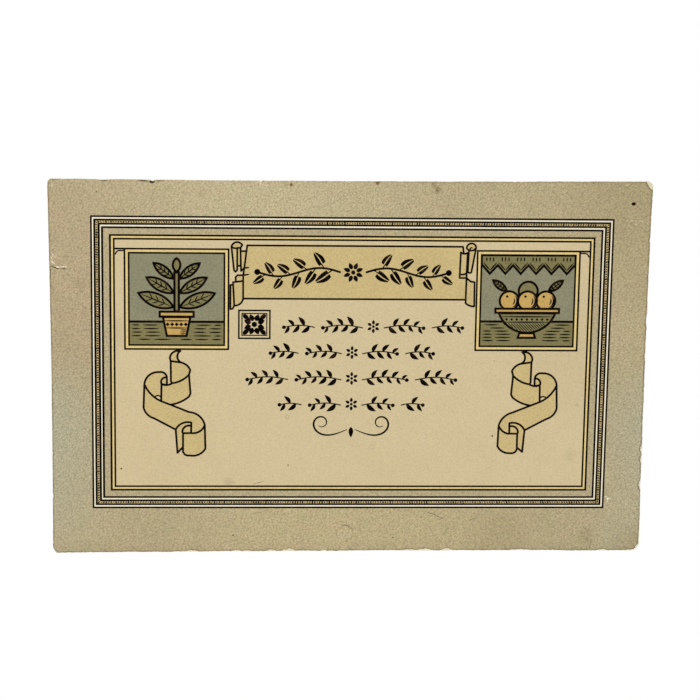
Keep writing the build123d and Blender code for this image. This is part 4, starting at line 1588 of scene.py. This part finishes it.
def tile(shape):
    """A double-ruled box with a flower in it and a leaf in each corner."""
    x, y = TILE_MIDDLE
    width, height = TILE_SIZE
    ruled_box(shape, x, y, width, height, TILE_LINE, PANEL_LEVEL)
    width -= 2 * (TILE_LINE + TILE_GAP)
    height -= 2 * (TILE_LINE + TILE_GAP)
    ruled_box(shape, x, y, width, height, TILE_INNER_LINE, PANEL_LEVEL)
    flower(shape, x, y, level=PANEL_LEVEL, **TILE_FLOWER)
    for side, end in QUARTERS:
        tip_x = x + side * (width / 2 - TILE_LEAF_TIP)
        tip_y = y + end * (height / 2 - TILE_LEAF_TIP)
        inwards = math.atan2(y - tip_y, x - tip_x)
        film(shape, carried(leaf_outline(*TILE_LEAF), tip_x, tip_y, inwards), PANEL_LEVEL)


shape = bmesh.new()
tile(shape)
print_piece("rosette_tile", shape)

# %% Flourish
FLOURISH_HEIGHT = -15.6 * MM
SCROLL_START = 0.9 * MM
SCROLL_LENGTH = 17.0 * MM
SCROLL_STEPS = 80
SCROLL_DIP = math.radians(-24)
SCROLL_CURL = math.radians(430)
SCROLL_POWER = 2.3
SCROLL_PEN = 0.46 * MM
DROP = (2.6 * MM, 1.1 * MM)
DROP_RISE = 0.6 * MM


def scroll(side):
    """One half of the flourish: points from the middle outwards and into the curl."""
    x, y = side * SCROLL_START, FLOURISH_HEIGHT
    line = [(x, y)]
    for step in range(SCROLL_STEPS):
        heading = SCROLL_DIP + SCROLL_CURL * ((step + 0.5) / SCROLL_STEPS) ** SCROLL_POWER
        x += side * math.cos(heading) * SCROLL_LENGTH / SCROLL_STEPS
        y += math.sin(heading) * SCROLL_LENGTH / SCROLL_STEPS
        line.append((x, y))
    return line


shape = bmesh.new()
for side in (-1, 1):
    pen_stroke(shape, scroll(side), tapered(SCROLL_STEPS + 1, SCROLL_PEN), PANEL_LEVEL)
drop = carried(leaf_outline(*DROP), 0, FLOURISH_HEIGHT + DROP_RISE, -math.pi / 2)
film(shape, drop, PANEL_LEVEL)
print_piece("scroll_flourish", shape)

# %% [markdown]
# ## Pen work in the pictures
#
# Two small pictures hang from the printed shelf: a plant in a pot and a bowl of fruit. The frame
# brings their colours and outlines. What a pen would still add is drawn here: veins in the
# leaves, a band round pot and bowl, shading on the fruit, pleats in the cloth, and the grain of
# the boards they stand on. Each stroke is placed from the sizes that the outlines were drawn with,
# so the helpers take a place in the picture and a few lengths.

# %% Strokes and dots in the pictures
PICTURE_MIDDLE = (40.95 * MM, 15.37 * MM)
PICTURE_HALF = 10.84 * MM
PICTURE_TOP = 10.64 * MM
PICTURE_LEVEL = top_of("picture_greens")
PEN = 0.33 * MM
FINE_PEN = 0.8 * PEN
HAIR_PEN = 0.62 * PEN
STROKE_STEPS = 6


def inked(shape, line, pen=PEN):
    """A pen stroke in a picture, thin at both ends."""
    pen_stroke(shape, line, tapered(len(line), pen), PICTURE_LEVEL)


def straight(shape, start, stop, pen=PEN, steps=STROKE_STEPS):
    """A straight pen stroke in a picture."""
    line = [Vector(start).lerp(Vector(stop), k / steps) for k in range(steps + 1)]
    inked(shape, [tuple(point) for point in line], pen)


def level_stroke(shape, x, y, half):
    """A level stroke that reaches as far to the left of a place as to its right."""
    straight(shape, (x - half, y), (x + half, y))


def dot_row(shape, x, y, count, pitch, radius):
    """A level row of small diamonds about a place."""
    for place in range(count):
        sideways = (place - (count - 1) / 2) * pitch
        film(shape, disc(radius, x + sideways, y, sides=4), PICTURE_LEVEL)


# %% Veins of a leaf
MIDRIB = (0.10, 0.88)
VEIN_STARTS = (0.26, 0.42, 0.58)
VEIN_AHEAD = 0.13
VEIN_ACROSS = 0.27
VEIN_GAP = 0.15
VEIN_PEN = 0.85 * PEN
VEIN_STEPS = 4


def veins(shape, x, y, length, width, lift, side):
    """A midrib and pairs of side veins in a leaf that starts at a place and leans out to a side."""
    along = Vector((side * math.cos(lift), math.sin(lift)))
    across = Vector((-along.y, along.x))
    foot = Vector((x, y))
    straight(shape, *[foot + along * length * share for share in MIDRIB])
    for share in VEIN_STARTS:
        for half in (-1, 1):
            start = foot + along * length * share
            reach = along * length * VEIN_AHEAD + across * half * width * VEIN_ACROSS
            straight(shape, start + reach * VEIN_GAP, start + reach, VEIN_PEN, VEIN_STEPS)


# %% Grain of a board
GRAIN_START = (0.7 * MM, 1.9 * MM)
GRAIN_LINE = (1.8 * MM, 5.0 * MM)
GRAIN_GAP = 0.8 * MM
GRAIN_LAST_START = 1.6 * MM
GRAIN_MARGIN = 0.5 * MM
GRAIN_START_SIZE = 0.7 * MM
GRAIN_LINE_SIZE = 1.1 * MM


def wood_grain(shape, x, y, heights, stands, seed):
    """Broken lines across a board, on both sides of what stands on it up to half a width there."""
    for row, height in enumerate(heights):
        for side in (-1, 1):
            share = ripple((row * MM, side * MM), GRAIN_START_SIZE, seed)
            start = stands(height) + between(GRAIN_START, share)
            while start < PICTURE_HALF - GRAIN_LAST_START:
                share = ripple((start, row * side * MM), GRAIN_LINE_SIZE, seed)
                stop = min(start + between(GRAIN_LINE, share), PICTURE_HALF - GRAIN_MARGIN)
                straight(shape, (x + side * start, y + height), (x + side * stop, y + height))
                start = stop + GRAIN_GAP


# %% [markdown]
# ### Plant in its pot
#
# The left picture is a potted plant on a sill. Its leaves grow in pairs that get smaller and steeper
# upwards, so a loop over the pairs finds every leaf and draws its veins. One small function tells
# the pot's width at a height. It ends the bands on the pot and keeps the sill's grain clear of it.

# %% Pen work on the plant
PLANT_FOOT = -2.02 * MM
PLANT_STEP = 3.3 * MM
PLANT_LEAF = (9.6 * MM, 3.6 * MM)
PLANT_SHRINK = 0.84
PLANT_LIFTS = (22, 30, 38)
STEM_EDGE = 0.34 * MM
POT_TOP = -3.94 * MM
POT_FOOT = -8.94 * MM
POT_TAPER = 0.2
POT_HALF = 3.5 * MM
POT_BANDS = [POT_TOP - drop * MM for drop in (1.15, 2.85)]
POT_BAND_MARGIN = 0.35 * MM
POT_SHADES = [POT_TOP - drop * MM for drop in (3.3, 3.75, 4.2)]
POT_SHADE_MARGIN = 0.4 * MM
POT_SHADE_START = 0.35
POT_DIAMONDS = {"count": 5, "pitch": 1.05 * MM, "radius": 0.48 * MM}
POT_DIAMOND_HEIGHT = POT_TOP - 2.0 * MM
SILL_LINES = [height * MM for height in (-6.1, -6.95, -7.8, -8.65, -9.5)]
SILL_SEED = 2.0


def pot_half(height):
    """Half the pot's width at a height; nothing below its foot."""
    return POT_HALF - POT_TAPER * (POT_TOP - height) if height > POT_FOOT else 0.0


def plant_pen_work(shape, x, y):
    """Leaf veins, a band of diamonds round the pot, shade on its side and the sill's grain."""
    for pair, lift in enumerate(PLANT_LIFTS):
        length, width = (size * PLANT_SHRINK**pair for size in PLANT_LEAF)
        height = y + PLANT_FOOT + PLANT_STEP * pair
        for side in (-1, 1):
            veins(shape, x + side * STEM_EDGE, height, length, width, math.radians(lift), side)
    dot_row(shape, x, y + POT_DIAMOND_HEIGHT, **POT_DIAMONDS)
    for height in POT_BANDS:
        level_stroke(shape, x, y + height, pot_half(height) - POT_BAND_MARGIN)
    for height in POT_SHADES:
        half = pot_half(height) - POT_SHADE_MARGIN
        straight(shape, (x + half * POT_SHADE_START, y + height), (x + half, y + height), FINE_PEN)
    wood_grain(shape, x, y, SILL_LINES, pot_half, SILL_SEED)


# %% [markdown]
# ### Bowl of fruit
#
# The right picture is a bowl on a table, under a pointed valance. The bowl's outline is part of a
# circle, so a slanting stroke of shade can stop where its line meets that circle, which is a short
# sum and needs no trimming by hand. The fruit are round as well, and their shade is made of arcs.

# %% Pen work on the bowl
BOWL_MIDDLE = -0.53 * MM
BOWL_RADIUS = 7.31 * MM
BOWL_NECK = -7.84 * MM
BOWL_FOOT_HALF = 2.4 * MM
BOWL_BANDS = (-3.75 * MM, -5.05 * MM)
BOWL_BAND_MARGIN = 0.5 * MM
BOWL_DIAMONDS = {"count": 9, "pitch": 1.2 * MM, "radius": 0.34 * MM}
BOWL_DIAMOND_HEIGHT = -4.4 * MM
BOWL_HATCHES = 19
BOWL_HATCH_PITCH = 0.62 * MM
BOWL_HATCH_HEIGHT = -5.3 * MM
BOWL_HATCH_MARGIN = 0.45 * MM
SHORTEST_HATCH = 0.5 * MM


def bowl_half(height):
    """Half the bowl's width at a height, with its foot below the neck."""
    if height < BOWL_NECK:
        return BOWL_FOOT_HALF
    return math.sqrt(max(0.0, BOWL_RADIUS**2 - (height - BOWL_MIDDLE) ** 2))


def shaded(shape, start, middle):
    """A slanting stroke from a place on the bowl down to just inside its round outline."""
    slant = Vector((1, -1)).normalized()
    inner = BOWL_RADIUS - BOWL_HATCH_MARGIN
    along = (middle - start).dot(slant)
    across = (middle - start).length_squared - along**2
    reach = along + math.sqrt(max(0.0, inner**2 - across))
    if reach > SHORTEST_HATCH:
        straight(shape, start, start + slant * reach, HAIR_PEN)


def bowl_pen_work(shape, x, y):
    """A band of diamonds between two lines round the bowl, and slanting shade under it."""
    for height in BOWL_BANDS:
        level_stroke(shape, x, y + height, bowl_half(height) - BOWL_BAND_MARGIN)
    dot_row(shape, x, y + BOWL_DIAMOND_HEIGHT, **BOWL_DIAMONDS)
    for place in range(BOWL_HATCHES):
        sideways = (place - (BOWL_HATCHES - 1) / 2) * BOWL_HATCH_PITCH
        start = Vector((x + sideways, y + BOWL_HATCH_HEIGHT))
        shaded(shape, start, Vector((x, y + BOWL_MIDDLE)))


# %% Pen work on the fruit, its leaves and the table
FRUIT = ((-4.3 * MM, 0.06 * MM), (0.0, 0.06 * MM), (4.3 * MM, 0.06 * MM))
FRUIT_RADIUS = 2.5 * MM
FRUIT_SHADES = ((0.72, -62, 40), (0.50, -48, 26))
FRUIT_SHADE_STEPS = 10
FRUIT_STALK = (-0.5 * MM, 1.0 * MM)
STALK_DOT = {"radius": 0.30 * MM, "sides": 8}
SIDE_LEAF = (5.0 * MM, 2.0 * MM)
SIDE_LEAF_FOOT = (4.6 * MM, 2.06 * MM)
SIDE_LEAF_LIFT = math.radians(38)
TABLE_LINES = [height * MM for height in (-5.7, -6.45, -7.2, -7.95, -8.7, -9.45)]
TABLE_SEED = 6.0


def fruit_pen_work(shape, x, y):
    """Shade and a stalk on each fruit, veins in the side leaves and the table's grain."""
    for fruit_x, fruit_y in FRUIT:
        for share, first, last in FRUIT_SHADES:
            radius = FRUIT_RADIUS * share
            inked(shape, arc(x + fruit_x, y + fruit_y, radius, first, last, FRUIT_SHADE_STEPS))
        stalk_x, stalk_y = FRUIT_STALK
        stalk = disc(x=x + fruit_x + stalk_x, y=y + fruit_y + stalk_y, **STALK_DOT)
        film(shape, stalk, PICTURE_LEVEL)
    foot_x, foot_y = SIDE_LEAF_FOOT
    for side in (-1, 1):
        veins(shape, x + side * foot_x, y + foot_y, *SIDE_LEAF, SIDE_LEAF_LIFT, side)
    wood_grain(shape, x, y, TABLE_LINES, bowl_half, TABLE_SEED)


# %% Pen work on the valance, and both pictures
VALANCE_HEM = 8.04 * MM
VALANCE_POINTS = 6
VALANCE_RISE = 1.0 * MM
VALANCE_ECHO = 0.8 * MM
VALANCE_MARGIN = 0.25 * MM
PLEATS = (0.28, 0.5, 0.72)
PLEAT_DROP = 0.3 * MM
PLEAT_FOOT = 1.3 * MM


def valance_pen_work(shape, x, y):
    """A line that echoes the valance's points, and pleats that hang from its top."""
    width = 2 * PICTURE_HALF / VALANCE_POINTS
    hem = y + VALANCE_HEM
    for place in range(VALANCE_POINTS):
        left = x - PICTURE_HALF + width * place
        point = (left + width / 2, hem - VALANCE_ECHO)
        for edge in (left + VALANCE_MARGIN, left + width - VALANCE_MARGIN):
            straight(shape, (edge, hem + VALANCE_RISE), point)
        for share in PLEATS:
            pleat = left + width * share
            straight(shape, (pleat, y + PICTURE_TOP - PLEAT_DROP), (pleat, hem + PLEAT_FOOT))


shape = bmesh.new()
plant_pen_work(shape, -PICTURE_MIDDLE[0], PICTURE_MIDDLE[1])
for pen_work in (bowl_pen_work, fruit_pen_work, valance_pen_work):
    pen_work(shape, *PICTURE_MIDDLE)
print_piece("picture_pen_work", shape)

# %% [markdown]
# ### Light through the ribbons
#
# Where each ribbon passes behind itself, the folds leave a small round gap and the panel shows
# through it. The gap is a half-round patch in the panel's cream, closed by a pen stroke.

# %% Ribbon gaps
GAP_PLACE = (-45.32 * MM, -8.30 * MM)
GAP_RADIUS = 0.82 * MM
GAP_LEAN = math.radians(-35)
GAP_STEPS = 10
GAP_FLATNESS = 0.9
RIBBON_LEVEL = top_of("ribbon_tints")
RIBBON_PEN = 0.34 * MM


def gap_line(side):
    """The half-round rim of a gap, from one foot to the other, mirrored for the right ribbon."""
    x, y = GAP_PLACE
    bow = [(px, py * GAP_FLATNESS) for px, py in arc(0, 0, GAP_RADIUS, 0, 180, GAP_STEPS)]
    bow = carried(bow, x, y, GAP_LEAN)
    return [(-side * px, py) for px, py in bow][::side]


gaps = bmesh.new()
rims = bmesh.new()
for side in (-1, 1):
    rim = gap_line(side)
    film(gaps, rim, RIBBON_LEVEL)
    pen_stroke(rims, rim, [RIBBON_PEN] * len(rim), RIBBON_LEVEL + ink_thickness)
print_piece("ribbon_gaps", gaps, "cream_ink")
print_piece("ribbon_gap_rims", rims)

# %% [markdown]
# ### Creases of the banner
#
# At its left the banner folds back on itself before it rolls up, and two short pen strokes follow
# the creases a little way into the panel. At its right a small curl shows in the roll's mouth.

# %% Banner creases
CREASE_PENS = [pen * MM for pen in (0.40, 0.40, 0.28, 0.16)]
CREASE_STROKES = (
    ((-25.08, 22.80), (-24.7, 22.87), (-24.2, 22.95)),
    ((-25.33, 21.13), (-24.8, 21.23), (-24.2, 21.32)),
    ((27.15, 27.43), (27.2, 27.75), (27.5, 27.95), (27.8, 27.75)),
)
shape = bmesh.new()
for points in CREASE_STROKES:
    line = [(x * MM, y * MM) for x, y in points]
    pen_stroke(shape, line, CREASE_PENS, BANNER_LEVEL)
print_piece("banner_creases", shape)

# %% [markdown]
# ## Scuffs, dirt and painted shadow
#
# The last marks are mostly the card's own accidents. Where something scraped the face, the ink has
# gone and raised fibres of white paper show: along the lip of the tear, in a broken scratch near one
# corner, and in small flecks. Dirt lies in a nick of the top edge and in a few dark specks, dark
# lines follow the creases, and a dark line runs down the left edge below the tear. Painted shadow
# darkens the paper under the tear's lifted lip and along the step of the lost corner. Most are
# ragged strokes, pen strokes whose width is broken up by noise, and the specks and flecks are ragged
# dots. All of them follow the surface that they lie on.

# %% Ragged strokes and specks
SURFACE = top_of("border_tint")
STROKE_STEP = 0.08 * MM
STROKE_RAG = 0.22 * MM
STROKE_SHAKE = 0.5
STROKE_THIN = 0.25
STROKE_BREAK = (0.45, 1.55)
SPECK_SIDES = 14
SPECK_RAG = 0.8
SPECK_SWELL = (0.65, 1.35)


def ragged(shape, points, width, seed):
    """A ragged stroke through points given in millimetres on the card."""
    corners = [Vector(point) * MM for point in points]
    line = []
    for start, stop in zip(corners, corners[1:]):
        steps = max(2, round((stop - start).length / STROKE_STEP))
        line += [start.lerp(stop, k / steps) for k in range(steps)]
    line.append(corners[-1])
    shaken = []
    widths = tapered(len(line), width * MM, STROKE_THIN)
    for place, spot in enumerate(line):
        shake = noise.noise(Vector((place * STROKE_STEP / STROKE_RAG, seed, 0)))
        shaken.append((spot.x, spot.y + shake * width * MM * STROKE_SHAKE))
        share = ripple((place * STROKE_STEP, 0), STROKE_RAG, seed + 0.5)
        widths[place] *= between(STROKE_BREAK, share)
    pen_stroke(shape, shaken, widths, SURFACE)


def speck(shape, x, y, radius, seed):
    """A ragged dot given in millimetres on the card."""
    outline = []
    for px, py in disc(radius * MM, sides=SPECK_SIDES):
        swell = between(SPECK_SWELL, ripple((px, py), radius * MM * SPECK_RAG, seed))
        outline.append((x * MM + px * swell, y * MM + py * swell))
    film(shape, outline, SURFACE)


def lie_on_card(mesh):
    """Lets the points of a mark follow the squeezed edge and the lifted tear."""
    for vertex in mesh.vertices:
        vertex.co = settled(*vertex.co, 1)
    return mesh


def strewn_piece(name, strokes, specks, first_stroke, first_speck, finish):
    """Ragged strokes and specks as one piece; each has a seed of its own, counted from a first."""
    shape = bmesh.new()
    for place, (points, width) in enumerate(strokes):
        ragged(shape, points, width, first_stroke + place)
    for place, (x, y, radius) in enumerate(specks):
        speck(shape, x, y, radius, first_speck + place)
    place_piece(name, lie_on_card(shape_mesh(name, shape)), finish)


# %% White scuffs
# strokes by their points and width, then flecks by x, y and radius, all in millimetres
SCUFFS = (
    (((-69.5, 25.5), (-68.95, 25.05), (-68.5, 24.65)), 0.36),
    (((-68.35, 24.2), (-67.95, 24.12), (-67.45, 23.98)), 0.42),
    (((-67.35, 24.0), (-66.95, 24.08)), 0.18),
    (((-66.85, 24.2), (-66.3, 24.06), (-65.8, 23.98)), 0.46),
    (((-69.5, 27.5), (-69.0, 26.95), (-68.4, 26.3)), 0.11),
    (((-69.5, 26.4), (-69.1, 25.8)), 0.16),
    (((63.9, 35.34), (64.4, 35.36)), 0.11),
    (((64.9, 35.32), (65.7, 35.30)), 0.13),
    (((66.1, 35.30), (66.5, 35.32)), 0.10),
    (((66.9, 35.28), (67.9, 35.28)), 0.12),
    (((65.9, 34.2), (66.4, 34.6)), 0.10),
    (((62.0, 42.8), (62.4, 42.85)), 0.18),
    (((63.6, 43.7), (63.8, 43.6)), 0.18),
    (((-21.4, 43.9), (-21.2, 43.3)), 0.24),
    (((-69.0, 43.6), (-68.9, 42.4)), 0.16),
)
FLECKS = (
    (61.55, -31.15, 0.16),
    (61.95, -31.65, 0.27),
    (62.52, -31.50, 0.16),
    (61.84, -32.25, 0.15),
)
SCUFF_SEEDS = (0.3, 60.3)
strewn_piece("white_scuffs", SCUFFS, FLECKS, *SCUFF_SEEDS, "face_stock")

# %% Dirt, specks and painted shadow
# strokes by their points and width, then specks by x, y and radius, all in millimetres
DIRT_AND_SHADOW_LINES = (
    # painted shadow under the lifted lip of the tear, then a dark line down the left edge below it
    (((-69.6, 24.35), (-69.0, 24.05), (-68.4, 23.85), (-67.9, 23.66), (-67.3, 23.74)), 0.22),
    (((-67.2, 23.72), (-66.6, 23.64), (-65.95, 23.62)), 0.18),
    (((-69.61, 24.0), (-69.6, 23.2), (-69.58, 21.6)), 0.13),
    # dirt in and beside the nicks of the top edge
    (((-46.8, 43.92), (-46.1, 43.88), (-45.5, 44.0)), 0.52),
    (((-49.4, 44.12), (-48.0, 44.08), (-46.95, 44.03)), 0.26),
    (((-45.4, 44.08), (-43.2, 44.15)), 0.14),
    (((-58.0, 44.05), (-56.2, 44.08)), 0.16),
    # painted shadow along the step where the face paper's top right corner is lost
    (((68.35, 44.2), (68.6, 43.6), (69.1, 42.9), (69.6, 42.5)), 0.10),
    # a dark spot near the top right corner
    (((65.08, 39.08), (66.0, 39.5)), 0.86),
)
CREASES = (
    (((56.2, -38.4), (57.0, -39.3), (57.7, -39.9)), 0.09),
    (((58.3, -41.8), (58.1, -42.6), (58.02, -43.3)), 0.10),
    (((58.0, -43.45), (57.9, -44.1)), 0.16),
    (((-22.7, -27.8), (-21.6, -27.5), (-20.2, -27.1)), 0.10),
    (((17.9, -34.6), (20.4, -35.4), (23.2, -36.8)), 0.10),
    (((28.8, -36.8), (30.9, -36.1)), 0.09),
    (((-1.5, -37.9), (-0.3, -38.0), (0.4, -39.1)), 0.12),
)
SPECKS = (
    (-53.8, -24.0, 0.20),
    (33.8, -16.2, 0.20),
    (-14.5, -23.2, 0.15),
    (-58.8, 41.6, 0.12),
    (44.0, 40.6, 0.08),
    (33.8, 2.0, 0.10),
    (10.6, -41.1, 0.16),
    (8.6, -38.5, 0.10),
    (-27.5, -40.4, 0.15),
    (-20.0, -37.6, 0.11),
    (-54.5, -41.6, 0.10),
)
DIRT_AND_SHADOW_SEEDS = (20.3, 40.3)
strewn_piece("dirt_specks", DIRT_AND_SHADOW_LINES + CREASES, SPECKS, *DIRT_AND_SHADOW_SEEDS, "dirt")
